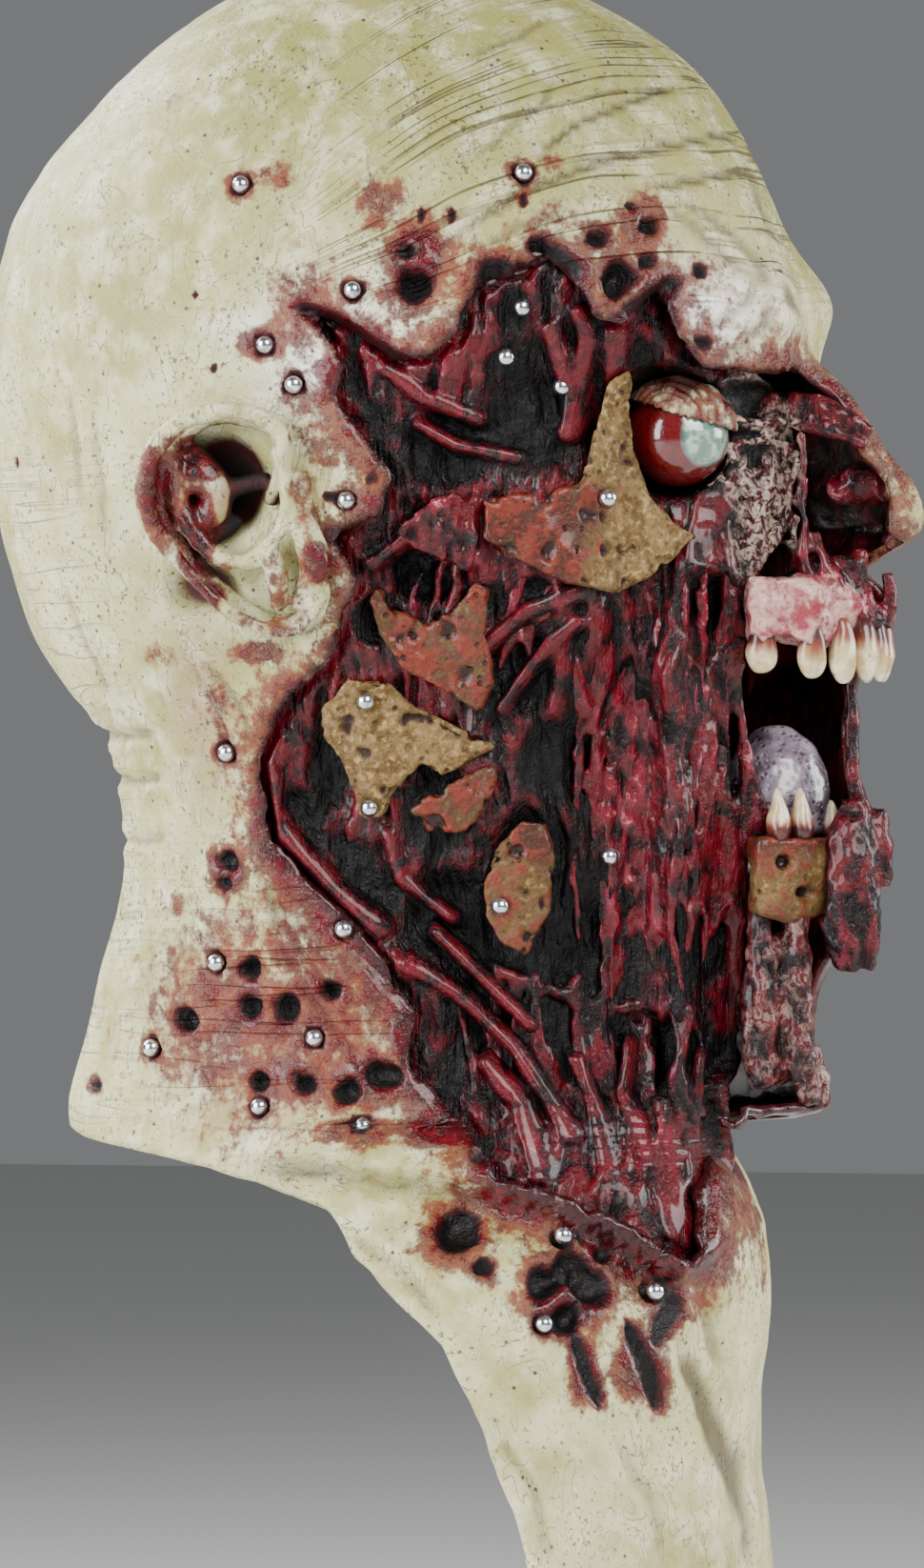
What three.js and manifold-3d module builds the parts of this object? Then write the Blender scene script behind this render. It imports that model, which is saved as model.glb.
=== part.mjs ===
// A full-head horror mask in latex: a hollow bald head with a collar and a bib, its right side blown open.
// Millimetres, +Z up, the face looks along -Y and the mask's right side is -X.
// The origin is the point inside the crown where the wearer's head meets the latex.
import * as THREE from "three";
import { mergeVertices } from "three/addons/utils/BufferGeometryUtils.js";
import Module from "manifold-3d";

const wasm = await Module();
wasm.setup();

// Driving sizes of the head and of the collar and bib below it
const HEAD_LENGTH = 230; // occiput to brow
const HEAD_BREADTH = 182; // across the widest part of the skull
const HEAD_HEIGHT = 319; // crown to the underside of the open jaw
const COLLAR_DEPTH = 190; // nape to throat at the hem
const BIB_BREADTH = 202; // across the bib if it were a full ring
const BIB_DROP = 136; // jaw to the bib's lower edge
const WALL = 3; // latex skin
const GAP = 0.3; // between pieces that touch

// Driving sizes of the wound and of what is set in it
const SKIN_TUCK = 5; // how far the wound bed runs on behind the skin
const BED_WALL = 2.6;
const BED_DEPTH = 11; // below the head's outline, away from the skin's edge
const SOCKET_DEPTH = 25; // the same near the eye and the mouth
const BED_SLOPE = 20; // from the skin's edge to the full depth
const COLLAR_CLEARANCE = 3; // deeper by this where the collar flares
const MIDLINE_CUT = 4; // the torn half of the face ends this far right of the middle
const NOSE_WALL = 3.4;
const PELLET_DIAMETER = 5;
const PELLET_SUNK = 0.42; // share of a pellet's diameter that sits in its pit
const EYE_DIAMETER = 28;
const EYELID_WALL = 2.4;
const EYE_HOLE_WIDTH = 26; // the slot in the unhurt left eye
const EYE_HOLE_HEIGHT = 8;
const TOOTH_WIDTH = 7.2;
const TOOTH_HEIGHT = 17;
const TOOTH_DEPTH = 7;
const LOWER_TOOTH_SCALE = 0.8;
const GUM_HEIGHT = 14;
const GUM_DEPTH = 12;
const EAR_RIM = 3;
const EAR_STAND = 8; // how far the front of the ear's rim stands out from the skull
const EAR_FLARE = 0.28; // how much more it stands out for each mm towards the back
const EAR_LIFT = 1; // its flat foot over the round of the skull
const STRAND_SIDES = 4;
const BALL_SIDES = 6;
const CUP_LIP = 4; // how far the eye's cup reaches round it past its middle
const EYE_TURN = 0.5; // the eye looks this far, in radians, from straight right towards the front

const CROWN_Z = WALL;
const JAW_Z = CROWN_Z - HEAD_HEIGHT;
const HEM_Z = JAW_Z - BIB_DROP;
const HALF_BREADTH = HEAD_BREADTH / 2;

const LOOKS = {
  skin: { color: 0xc9c49a, roughness: 0.5, metalness: 0 },
  flesh: { color: 0x4a0a14, roughness: 0.25, metalness: 0 },
  bone: { color: 0xa5854f, roughness: 0.6, metalness: 0 },
  tooth: { color: 0xd8c9a4, roughness: 0.3, metalness: 0 },
  eye: { color: 0xb9c9bd, roughness: 0.1, metalness: 0 },
  steel: { color: 0xb8bcc4, roughness: 0.2, metalness: 1 },
};

// Level sections of the head. drop is a share of HEAD_HEIGHT, half of HEAD_BREADTH / 2, and the rest are
// shares of HEAD_LENGTH: how far the section reaches back and front, and where it is widest.
// The powers square the curve off: 2 is an ellipse.
const HEAD_SECTIONS = [
  // drop, back, front, half, centre, front power, back power
  [0.0, 0.0, 0.0, 0.0, 0.0, 2.0, 2.0],
  [0.011, 0.117, 0.117, 0.27, 0.009, 2.0, 2.0],
  [0.041, 0.215, 0.209, 0.49, 0.017, 2.1, 2.0],
  [0.073, 0.283, 0.287, 0.637, 0.026, 2.1, 2.0],
  [0.106, 0.337, 0.343, 0.736, 0.035, 2.2, 2.0],
  [0.139, 0.381, 0.378, 0.813, 0.043, 2.2, 2.0],
  [0.187, 0.437, 0.413, 0.901, 0.052, 2.3, 2.05],
  [0.236, 0.474, 0.439, 0.956, 0.061, 2.4, 2.1],
  [0.285, 0.491, 0.461, 0.989, 0.065, 2.4, 2.1],
  [0.334, 0.499, 0.474, 1.0, 0.065, 2.4, 2.1],
  [0.382, 0.5, 0.483, 0.995, 0.065, 2.4, 2.1],
  [0.433, 0.499, 0.483, 0.978, 0.065, 2.4, 2.1],
  [0.48, 0.491, 0.487, 0.956, 0.061, 2.3, 2.1],
  [0.51, 0.483, 0.496, 0.944, 0.059, 2.2, 2.1],
  [0.53, 0.474, 0.535, 0.93, 0.055, 2.1, 2.1],
  [0.555, 0.464, 0.56, 0.915, 0.05, 2.05, 2.1],
  [0.58, 0.451, 0.56, 0.901, 0.045, 2.0, 2.1],
  [0.627, 0.41, 0.537, 0.868, 0.035, 2.0, 2.1],
  [0.677, 0.354, 0.53, 0.835, 0.026, 1.9, 2.1],
  [0.724, 0.341, 0.533, 0.802, 0.017, 1.9, 2.1],
  [0.774, 0.337, 0.533, 0.769, 0.009, 1.9, 2.1],
  [0.821, 0.348, 0.515, 0.736, 0.0, 1.9, 2.1],
  [0.871, 0.37, 0.496, 0.714, -0.004, 1.9, 2.1],
  [0.922, 0.387, 0.487, 0.703, -0.009, 1.9, 2.1],
  [0.962, 0.404, 0.491, 0.703, -0.013, 1.9, 2.1],
  [0.984, 0.41, 0.5, 0.71, -0.013, 1.9, 2.1],
  [0.992, 0.41, 0.487, 0.714, -0.013, 2.0, 2.1],
];
// The same below the jaw: drop is a share of BIB_DROP, half of BIB_BREADTH / 2, the rest of COLLAR_DEPTH.
const COLLAR_SECTIONS = [
  [0.0, 0.495, 0.45, 0.653, -0.021, 2.1, 2.1],
  [0.12, 0.484, 0.489, 0.713, -0.026, 2.2, 2.1],
  [0.21, 0.474, 0.511, 0.772, -0.032, 2.2, 2.1],
  [0.31, 0.463, 0.516, 0.832, -0.037, 2.2, 2.1],
  [0.43, 0.453, 0.511, 0.891, -0.042, 2.2, 2.1],
  [0.54, 0.442, 0.5, 0.931, -0.047, 2.2, 2.1],
  [0.68, 0.432, 0.5, 0.96, -0.053, 2.2, 2.1],
  [0.81, 0.421, 0.511, 0.98, -0.058, 2.2, 2.1],
  [1.0, 0.411, 0.521, 1.0, -0.063, 2.2, 2.1],
];
// Swellings and hollows of the face, pushed along -Y. across is a share of HEAD_BREADTH / 2 (the left side
// is +), drop of HEAD_HEIGHT, rise of HEAD_LENGTH; wide and tall are the spreads in the same shares.
const FACE_FORMS = [
  // across, drop, wide, tall, rise
  [-0.34, 0.315, 0.24, 0.035, 0.03], // right brow
  [0.34, 0.3, 0.24, 0.04, 0.034], // left brow
  [0.36, 0.415, 0.2, 0.035, -0.05], // left eye socket
  [0.36, 0.425, 0.13, 0.026, 0.024], // left eyelids
  [0.52, 0.515, 0.22, 0.05, 0.02], // left cheekbone
  [0.5, 0.7, 0.2, 0.08, -0.025], // hollow of the left cheek
  [0.0, 0.567, 0.32, 0.03, 0.022], // upper lip
  [0.24, 0.665, 0.16, 0.06, 0.018], // corner of the mouth
  [0.12, 0.775, 0.26, 0.032, 0.045], // lower lip
  [0.12, 0.835, 0.24, 0.03, 0.03], // pad of the chin
];
// The nose: half is its half width as a share of HEAD_BREADTH / 2, rise is a share of HEAD_LENGTH.
const NOSE_SECTIONS = [
  // drop, rise, half
  [0.345, 0.0, 0.1],
  [0.36, 0.02, 0.1],
  [0.383, 0.05, 0.11],
  [0.408, 0.074, 0.12],
  [0.433, 0.096, 0.14],
  [0.458, 0.122, 0.17],
  [0.481, 0.13, 0.2],
  [0.497, 0.124, 0.22],
  [0.509, 0.1, 0.21],
  [0.518, 0.065, 0.18],
  [0.53, 0.0, 0.14],
];
// Columns round the head, from the middle of the face (0) to the middle of the back (180), in degrees.
const OUTER_COLUMNS = [0, 2, 5, 9, 14, 20, 28, 38, 49, 61, 74, 88, 102, 117, 133, 148, 164, 180];
const INNER_COLUMNS = [0, 7, 16, 27, 39, 52, 65, 78, 91, 105, 122, 141, 160, 180];
// Levels of the outside and of the hollow, as shares of HEAD_HEIGHT and then of BIB_DROP
const OUTER_DROPS = [
  0, 0.006, 0.02, 0.045, 0.08, 0.12, 0.17, 0.22, 0.265, 0.3, 0.33, 0.36, 0.39, 0.415, 0.44, 0.465, 0.484, 0.5,
  0.515, 0.535, 0.56, 0.595, 0.64, 0.69, 0.74, 0.78, 0.82, 0.87, 0.92, 0.965, 0.984, 0.992, 1,
];
const COLLAR_DROPS = [0.12, 0.24, 0.4, 0.56, 0.76, 1];
const INNER_DROPS = [0.05, 0.12, 0.21, 0.3, 0.39, 0.48, 0.56, 0.65, 0.75, 0.86, 0.973, 0.986];
const INNER_COLLAR_DROPS = [0.15, 0.4, 0.65, 1];

// Outlines on the right side, seen square on: along is a share of HEAD_LENGTH from the origin to the back
// (the face is -), drop a share of HEAD_HEIGHT from the crown.
const WOUND_OUTLINE = [
  [0.031, 0.319], [-0.027, 0.338], [-0.07, 0.361], [-0.108, 0.361], [-0.145, 0.342], [-0.166, 0.303],
  [-0.212, 0.291], [-0.242, 0.277], [-0.269, 0.294], [-0.295, 0.33], [-0.324, 0.329], [-0.366, 0.3],
  [-0.379, 0.34], [-0.405, 0.367], [-0.448, 0.372], [-0.483, 0.366], [-0.52, 0.385], [-0.548, 0.43],
  [-0.585, 0.47], [-0.582, 0.5], [-0.64, 0.53], [-0.7, 0.6], [-0.7, 0.99], [-0.383, 0.99],
  [-0.376, 1.022], [-0.384, 1.075], [-0.375, 1.113], [-0.336, 1.098], [-0.256, 1.068], [-0.17, 1.044],
  [-0.133, 0.998], [-0.066, 0.947], [-0.068, 0.899], [-0.028, 0.859], [0.032, 0.808], [0.095, 0.761],
  [0.105, 0.693], [0.066, 0.642], [0.013, 0.607], [-0.025, 0.544], [0.006, 0.505], [-0.055, 0.494],
  [-0.065, 0.459], [-0.041, 0.424], [-0.004, 0.396], [-0.02, 0.366],
];
const BED_OUTLINE = [
  [0.05, 0.305], [-0.06, 0.34], [-0.13, 0.335], [-0.15, 0.29], [-0.24, 0.262], [-0.3, 0.31], [-0.38, 0.28],
  [-0.42, 0.35], [-0.42, 0.5], [-0.405, 0.62], [-0.405, 0.96], [-0.4, 1.0], [-0.4, 1.13], [-0.34, 1.115],
  [-0.25, 1.085], [-0.155, 1.06], [-0.11, 1.01], [-0.045, 0.955], [-0.045, 0.91], [-0.01, 0.875],
  [0.055, 0.825], [0.12, 0.77], [0.13, 0.69], [0.09, 0.625], [0.035, 0.59], [0.02, 0.545], [0.03, 0.49],
  [-0.03, 0.475], [-0.04, 0.455], [-0.015, 0.435], [0.03, 0.4], [0.01, 0.36],
];
// The hem runs from the nape down to the bib's side; what lies behind and below it is open.
const HEM_OUTLINE = [
  [0.7, 0.99], [0.42, 1.001], [0.359, 1.013], [0.252, 1.023], [0.16, 1.035], [0.075, 1.044], [0.025, 1.058],
  [0.003, 1.079], [-0.053, 1.125], [-0.128, 1.17], [-0.163, 1.216], [-0.189, 1.263], [-0.215, 1.309],
  [-0.232, 1.352], [-0.245, 1.394], [-0.25, 1.6], [0.7, 1.6],
];
// Plates of bone and muscle on the wound bed: rise is how far each stands out from the bed, in mm.
const PLATES = [
  {
    name: "cheekbone", kind: "bone", rise: 9,
    outline: [
      [-0.295, 0.38], [-0.321, 0.368], [-0.316, 0.403], [-0.317, 0.434], [-0.332, 0.469], [-0.358, 0.493],
      [-0.385, 0.505], [-0.352, 0.53], [-0.33, 0.54], [-0.301, 0.552], [-0.25, 0.546], [-0.204, 0.529],
      [-0.163, 0.509], [-0.165, 0.476], [-0.222, 0.47], [-0.264, 0.464], [-0.277, 0.435], [-0.288, 0.403],
    ],
  },
  {
    name: "temple_muscle", kind: "flesh", rise: 9,
    outline: [
      [-0.066, 0.505], [-0.103, 0.482], [-0.131, 0.47], [-0.155, 0.482], [-0.157, 0.513], [-0.144, 0.537],
      [-0.123, 0.528], [-0.091, 0.519],
    ],
  },
  {
    name: "jaw_ramus", kind: "bone", rise: 7,
    outline: [
      [-0.032, 0.556], [-0.045, 0.55], [-0.06, 0.567], [-0.094, 0.581], [-0.128, 0.567], [-0.151, 0.545],
      [-0.166, 0.549], [-0.161, 0.583], [-0.167, 0.63], [-0.149, 0.652], [-0.1, 0.63], [-0.064, 0.615],
      [-0.04, 0.585],
    ],
  },
  {
    name: "mastoid_plate", kind: "bone", rise: 7,
    outline: [
      [0.03, 0.65], [-0.004, 0.625], [-0.045, 0.628], [-0.074, 0.646], [-0.127, 0.668], [-0.165, 0.68],
      [-0.103, 0.705], [-0.082, 0.693], [-0.047, 0.717], [-0.035, 0.739], [-0.007, 0.741], [0.002, 0.705],
      [0.025, 0.678],
    ],
  },
  {
    name: "flesh_chunk", kind: "flesh", rise: 6,
    outline: [[-0.065, 0.733], [-0.11, 0.714], [-0.164, 0.695], [-0.157, 0.725], [-0.129, 0.752], [-0.086, 0.749]],
  },
  {
    name: "bone_chip", kind: "bone", rise: 7,
    outline: [
      [-0.146, 0.796], [-0.164, 0.764], [-0.191, 0.742], [-0.216, 0.744], [-0.225, 0.772], [-0.216, 0.82],
      [-0.191, 0.854], [-0.165, 0.844], [-0.148, 0.82],
    ],
  },
];
// Where each steel pellet sits, in the same shares of the side view.
const PELLETS = [
  [0.111, 0.217], [-0.21, 0.209], [-0.026, 0.306], [-0.209, 0.319], [0.076, 0.35], [0.042, 0.383],
  [-0.19, 0.36], [-0.246, 0.383], [-0.015, 0.478], [-0.292, 0.475], [-0.023, 0.643], [0.143, 0.685],
  [-0.022, 0.731], [-0.165, 0.813], [-0.278, 0.772], [0.169, 0.861], [0.009, 0.832], [0.047, 0.923],
  [0.114, 0.981], [-0.013, 0.996], [-0.249, 1.085], [-0.345, 1.132], [-0.236, 1.156], [0.258, 0.934],
];
// Strands of torn flesh under the cheekbone: along and drop of the top, then of the tip, the greatest
// radius in mm and how far down it lies.
const CHEEK_STRANDS = [
  // top along, top drop, tip along, tip drop, radius, fattest
  [-0.262, 0.567, -0.245, 0.672, 4.2, 0.7],
  [-0.292, 0.567, -0.275, 0.7, 3.2, 0.5],
  [-0.32, 0.567, -0.31, 0.855, 3.4, 0.8],
  [-0.346, 0.564, -0.34, 0.8, 2.6, 0.5],
  [-0.37, 0.56, -0.37, 0.9, 2.8, 0.6],
  [-0.394, 0.555, -0.4, 0.955, 3.2, 0.85],
];
// Sinews of the neck, from the jaw down to the collar.
const NECK_SINEWS = [
  [-0.16, 0.87, -0.21, 1.045, 3.4, 0.5],
  [-0.22, 0.88, -0.265, 1.06, 3.2, 0.5],
  [-0.28, 0.885, -0.315, 1.065, 3.4, 0.6],
  [-0.333, 0.9, -0.355, 1.08, 2.8, 0.5],
];
// Teeth round the arch: angle from the middle of the arch in degrees (the mask's right is -), and size.
const UPPER_TEETH = [
  // angle, width share, height share
  [-70, 0.95, 0.85],
  [-50, 1.0, 0.95],
  [-35, 1.0, 1.05],
  [-20, 1.0, 1.0],
  [-6.5, 1.0, 1.0],
  [7, 1.0, 1.0],
  [21, 0.95, 0.95],
  [35, 1.0, 1.0],
];
const LOWER_TEETH = [
  [-52, 0.95, 1.0],
  [-37, 0.95, 1.0],
  [14, 0.8, 0.75],
  [36, 0.85, 0.8],
];
// The arches the teeth stand on, seen from above: half ellipses open to the back.
const UPPER_ARCH = { across: 0.385 * HALF_BREADTH, forward: 0.2 * HEAD_LENGTH, back: -0.387 * HEAD_LENGTH };
const LOWER_ARCH = { across: 0.3 * HALF_BREADTH, forward: 0.145 * HEAD_LENGTH, back: -0.383 * HEAD_LENGTH };
const UPPER_GUM_Z = CROWN_Z - 0.583 * HEAD_HEIGHT;
const LOWER_GUM_Z = CROWN_Z - 0.757 * HEAD_HEIGHT;
const EAR_OUTLINE = [
  [0.214, 0.5], [0.214, 0.462], [0.19, 0.424], [0.15, 0.404], [0.1, 0.402], [0.055, 0.424], [0.035, 0.462],
  [0.043, 0.51], [0.02, 0.54], [0.024, 0.576], [0.06, 0.592], [0.11, 0.58], [0.16, 0.556], [0.195, 0.532],
  [0.214, 0.5],
];
// The fold inside the ear, and the knob in front of its hole
const EAR_FOLD = [[0.16, 0.43], [0.185, 0.47], [0.165, 0.515], [0.115, 0.55], [0.075, 0.56]];
const TRAGUS = [0.03, 0.535];

// A table's row at a given first column, with the other columns eased between rows and never overshooting.
function readTable(rows, at) {
  const last = rows.length - 1;
  if (at <= rows[0][0]) return rows[0].slice(1);
  if (at >= rows[last][0]) return rows[last].slice(1);
  const i = rows.findIndex((row) => row[0] > at) - 1;
  const slope = (k, c) => (rows[k + 1][c] - rows[k][c]) / (rows[k + 1][0] - rows[k][0]);
  const tangent = (k, c) => {
    if (k === 0) return slope(0, c);
    if (k === last) return slope(last - 1, c);
    const before = slope(k - 1, c);
    const after = slope(k, c);
    return before * after <= 0 ? 0 : (2 * before * after) / (before + after);
  };
  const span = rows[i + 1][0] - rows[i][0];
  const t = (at - rows[i][0]) / span;
  const values = [];
  for (let c = 1; c < rows[i].length; c++) {
    values.push(
      rows[i][c] * (2 * t ** 3 - 3 * t ** 2 + 1) +
        rows[i + 1][c] * (3 * t ** 2 - 2 * t ** 3) +
        span * (tangent(i, c) * (t ** 3 - 2 * t ** 2 + t) + tangent(i + 1, c) * (t ** 3 - t ** 2)),
    );
  }
  return values;
}

// Both tables of sections as one, in millimetres, from the crown to the bib's edge.
const SECTIONS = [
  ...HEAD_SECTIONS.map(([drop, back, front, half, centre, frontPower, backPower]) => [
    drop * HEAD_HEIGHT, back * HEAD_LENGTH, front * HEAD_LENGTH, half * HALF_BREADTH, centre * HEAD_LENGTH,
    frontPower, backPower,
  ]),
  ...COLLAR_SECTIONS.map(([drop, back, front, half, centre, frontPower, backPower]) => [
    HEAD_HEIGHT + drop * BIB_DROP, back * COLLAR_DEPTH, front * COLLAR_DEPTH, (half * BIB_BREADTH) / 2,
    centre * COLLAR_DEPTH, frontPower, backPower,
  ]),
];

function sectionAt(z) {
  const [back, front, half, centre, frontPower, backPower] = readTable(SECTIONS, CROWN_Z - z);
  return { back, front, half, centre, frontPower, backPower };
}

// The section of a body that keeps inside the skin by a given depth: the narrowest of those near its level.
function insetSectionAt(z, inset) {
  const near = [sectionAt(z + inset), sectionAt(z), sectionAt(z - inset)];
  const least = (key) => Math.max(Math.min(...near.map((section) => section[key])) - inset, 0.5);
  return { ...near[1], back: least("back"), front: least("front"), half: least("half") };
}

function faceRise(x, z) {
  const across = x / HALF_BREADTH;
  const drop = (CROWN_Z - z) / HEAD_HEIGHT;
  let rise = 0;
  for (const [atAcross, atDrop, wide, tall, height] of FACE_FORMS) {
    rise += height * Math.exp(-(((across - atAcross) / wide) ** 2) - ((drop - atDrop) / tall) ** 2);
  }
  return rise * HEAD_LENGTH;
}

function noseRise(x, z) {
  const drop = (CROWN_Z - z) / HEAD_HEIGHT;
  if (drop < NOSE_SECTIONS[0][0] || drop > NOSE_SECTIONS.at(-1)[0]) return 0;
  const [rise, half] = readTable(NOSE_SECTIONS, drop);
  const share = Math.min(Math.abs(x) / (half * HALF_BREADTH), 1);
  return rise * HEAD_LENGTH * (1 - share ** 2.2) ** 0.9;
}

// A point of the skin at an angle round a section, counted from the face towards the mask's left.
function skinPoint(section, degrees, z, rise) {
  const angle = THREE.MathUtils.degToRad(degrees);
  const sine = Math.sin(angle);
  const cosine = Math.cos(angle);
  const power = 2 / (cosine > 0 ? section.frontPower : section.backPower);
  const reach = cosine > 0 ? -(section.front + section.centre) : section.back - section.centre;
  const x = section.half * Math.sign(sine) * Math.abs(sine) ** power;
  const y = section.centre + reach * Math.abs(cosine) ** power;
  return new THREE.Vector3(x, cosine > 0 ? y - rise(x, z) : y, z);
}

// How far the outline of the head lies from the middle plane at a point of the side view.
function sideReach(y, z) {
  const { back, front, half, centre, frontPower, backPower } = sectionAt(z);
  const [share, power] =
    y >= centre ? [(y - centre) / (back - centre), backPower] : [(centre - y) / (front + centre), frontPower];
  return share >= 1 ? 0 : half * (1 - share ** power) ** (1 / power);
}

const onSide = ([along, drop]) => [along * HEAD_LENGTH, CROWN_Z - drop * HEAD_HEIGHT];
const evenly = (from, to, count) => Array.from({ length: count }, (_, i) => from + ((to - from) * i) / (count - 1));

// A closed mesh as a solid. Its normals and texture coordinates go, so that shared vertices merge.
function solidOf(geometry) {
  const bare = geometry.index ? geometry.clone() : geometry;
  for (const name of Object.keys(bare.attributes)) if (name !== "position") bare.deleteAttribute(name);
  const merged = mergeVertices(bare, 1e-4);
  const index = merged.index.array;
  const kept = [];
  for (let i = 0; i < index.length; i += 3) {
    const [a, b, c] = [index[i], index[i + 1], index[i + 2]];
    if (a !== b && b !== c && c !== a) kept.push(a, b, c);
  }
  const build = (triangles) =>
    new wasm.Manifold(
      new wasm.Mesh({
        numProp: 3,
        vertProperties: new Float32Array(merged.attributes.position.array),
        triVerts: new Uint32Array(triangles),
      }),
    );
  const solid = build(kept);
  return solid.volume() > 0 ? solid : build(kept.reverse());
}

function meshOf(name, solid, look) {
  const { numProp, vertProperties, triVerts } = solid.getMesh();
  const positions = new Float32Array((vertProperties.length / numProp) * 3);
  for (let i = 0; i < positions.length / 3; i++) {
    positions.set(vertProperties.subarray(i * numProp, i * numProp + 3), i * 3);
  }
  const geometry = new THREE.BufferGeometry();
  geometry.setAttribute("position", new THREE.BufferAttribute(positions, 3));
  geometry.setIndex(new THREE.BufferAttribute(new Uint32Array(triVerts), 1));
  geometry.computeVertexNormals();
  const mesh = new THREE.Mesh(geometry, new THREE.MeshStandardMaterial(LOOKS[look]));
  mesh.name = name;
  return mesh;
}

// The corners of an outline moved outwards, so that each edge moves by grow.
function grownOutline(points, grow) {
  const turn = THREE.ShapeUtils.area(points) > 0 ? 1 : -1;
  const normal = (from, to) => new THREE.Vector2(to.y - from.y, from.x - to.x).normalize().multiplyScalar(turn);
  return points.map((point, i) => {
    const before = normal(points.at(i - 1), point);
    const after = normal(point, points[(i + 1) % points.length]);
    const mitre = before.add(after).normalize();
    return point.clone().addScaledVector(mitre, grow / Math.max(mitre.dot(after), 0.4));
  });
}

// A prism along X with the outline that is seen from the side, larger all round by grow.
function sidePrism(outline, fromX, toX, grow = 0) {
  const points = outline.map((point) => new THREE.Vector2(...onSide(point)));
  const shape = new THREE.Shape(grow ? grownOutline(points, grow) : points);
  const geometry = new THREE.ExtrudeGeometry(shape, { depth: toX - fromX, bevelEnabled: false });
  const basis = new THREE.Matrix4().makeBasis(
    new THREE.Vector3(0, 1, 0), new THREE.Vector3(0, 0, 1), new THREE.Vector3(1, 0, 0),
  );
  return solidOf(geometry.applyMatrix4(basis.setPosition(fromX, 0, 0)));
}

function ellipsoid(centre, radii, sides = 12, rings = 8) {
  const geometry = new THREE.SphereGeometry(1, sides, rings);
  geometry.scale(...radii);
  geometry.translate(...centre);
  return solidOf(geometry);
}

const ball = (centre, radius, sides) => ellipsoid(centre, [radius, radius, radius], sides, Math.round(sides * 0.6));

function joined(solids) {
  return solids.reduce((whole, solid) => whole.add(solid));
}

// A spindle that follows a curve: radius is a function of the share of the way along.
function strand(points, radius, steps = 4) {
  const curve = new THREE.CatmullRomCurve3(points);
  const profile = [new THREE.Vector2(0, 0)];
  for (let i = 0; i <= steps; i++) profile.push(new THREE.Vector2(radius(i / steps), i / steps));
  profile.push(new THREE.Vector2(0, 1));
  const geometry = new THREE.LatheGeometry(profile, STRAND_SIDES);
  const position = geometry.attributes.position;
  const place = new THREE.Vector3();
  const start = new THREE.Vector3();
  for (let i = 0; i < position.count; i++) {
    place.fromBufferAttribute(position, i);
    const share = THREE.MathUtils.clamp(place.y, 0, 1);
    const tangent = curve.getTangent(share);
    const side = new THREE.Vector3(1, 0, 0).cross(tangent).normalize();
    const out = tangent.clone().cross(side);
    curve.getPoint(share, start);
    start.addScaledVector(side, place.x).addScaledVector(out, place.z);
    position.setXYZ(i, start.x, start.y, start.z);
  }
  return solidOf(geometry);
}

// A solid body of the head's form: a lathe from the crown down to the hem's level, with every vertex moved
// to its place on the sections.
function headBody(levels, halfColumns, sectionOf, rise) {
  const columns = [...halfColumns, ...halfColumns.slice(1, -1).reverse().map((degrees) => 360 - degrees)];
  const last = levels.length;
  const profile = [...levels.map((_, i) => new THREE.Vector2(i === 0 ? 0 : 1, i)), new THREE.Vector2(0, last)];
  const geometry = new THREE.LatheGeometry(profile, columns.length);
  const position = geometry.attributes.position;
  for (let i = 0; i < position.count; i++) {
    const row = i % (last + 1);
    const degrees = columns[Math.floor(i / (last + 1)) % columns.length];
    const z = levels[Math.min(row, last - 1)];
    const point =
      row === 0 || row === last ? new THREE.Vector3(0, 0, z) : skinPoint(sectionOf(z), degrees, z, rise);
    position.setXYZ(i, point.x, point.y, point.z);
  }
  return solidOf(geometry);
}

const headLevel = (drop) => CROWN_Z - drop * HEAD_HEIGHT;
const bibLevel = (drop) => JAW_Z - drop * BIB_DROP;

function outerBody() {
  const levels = [...OUTER_DROPS.map(headLevel), ...COLLAR_DROPS.map(bibLevel)];
  return headBody(levels, OUTER_COLUMNS, sectionAt, (x, z) => faceRise(x, z) + noseRise(x, z));
}

function innerBody(inset) {
  const levels = [
    CROWN_Z - inset,
    ...INNER_DROPS.map(headLevel),
    JAW_Z,
    ...INNER_COLLAR_DROPS.map(bibLevel),
    HEM_Z - WALL,
  ];
  const rise = (x, z) => Math.min(faceRise(x, z), 0.8 * faceRise(x, z));
  return headBody(levels, INNER_COLUMNS, (z) => insetSectionAt(z, inset), rise);
}

// Distance from a point of the side view to an outline.
function distanceTo(outline, y, z) {
  const corners = outline.map((corner) => new THREE.Vector2(...onSide(corner)));
  const point = new THREE.Vector2(y, z);
  let least = Infinity;
  corners.forEach((from, i) => {
    const to = corners[(i + 1) % corners.length];
    const edge = to.clone().sub(from);
    const share = THREE.MathUtils.clamp(point.clone().sub(from).dot(edge) / edge.lengthSq(), 0, 1);
    least = Math.min(least, point.distanceTo(from.clone().addScaledVector(edge, share)));
  });
  return least;
}

const EDGE_DEPTH = WALL + GAP + 1.8; // where the bed runs on behind the skin

// Depth of the wound bed below the head's outline: shallow under the skin's edge, deep by the eye and mouth.
function bedDepth(y, z) {
  const drop = (CROWN_Z - z) / HEAD_HEIGHT;
  const forward = THREE.MathUtils.smoothstep(-y / HEAD_LENGTH, 0.18, 0.36);
  const upper = 1 - THREE.MathUtils.smoothstep(drop, 0.93, 1.03);
  const full = THREE.MathUtils.lerp(BED_DEPTH, SOCKET_DEPTH, forward * upper);
  const inland = THREE.MathUtils.smoothstep(distanceTo(BED_OUTLINE, y, z), SKIN_TUCK, SKIN_TUCK + BED_SLOPE);
  const frontEdge = THREE.MathUtils.smoothstep(-y / HEAD_LENGTH, 0.33, 0.4) * upper;
  const flare = COLLAR_CLEARANCE * THREE.MathUtils.smoothstep(drop, 1, 1.08);
  return flare + THREE.MathUtils.lerp(EDGE_DEPTH, full, Math.max(inland, frontEdge));
}

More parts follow.
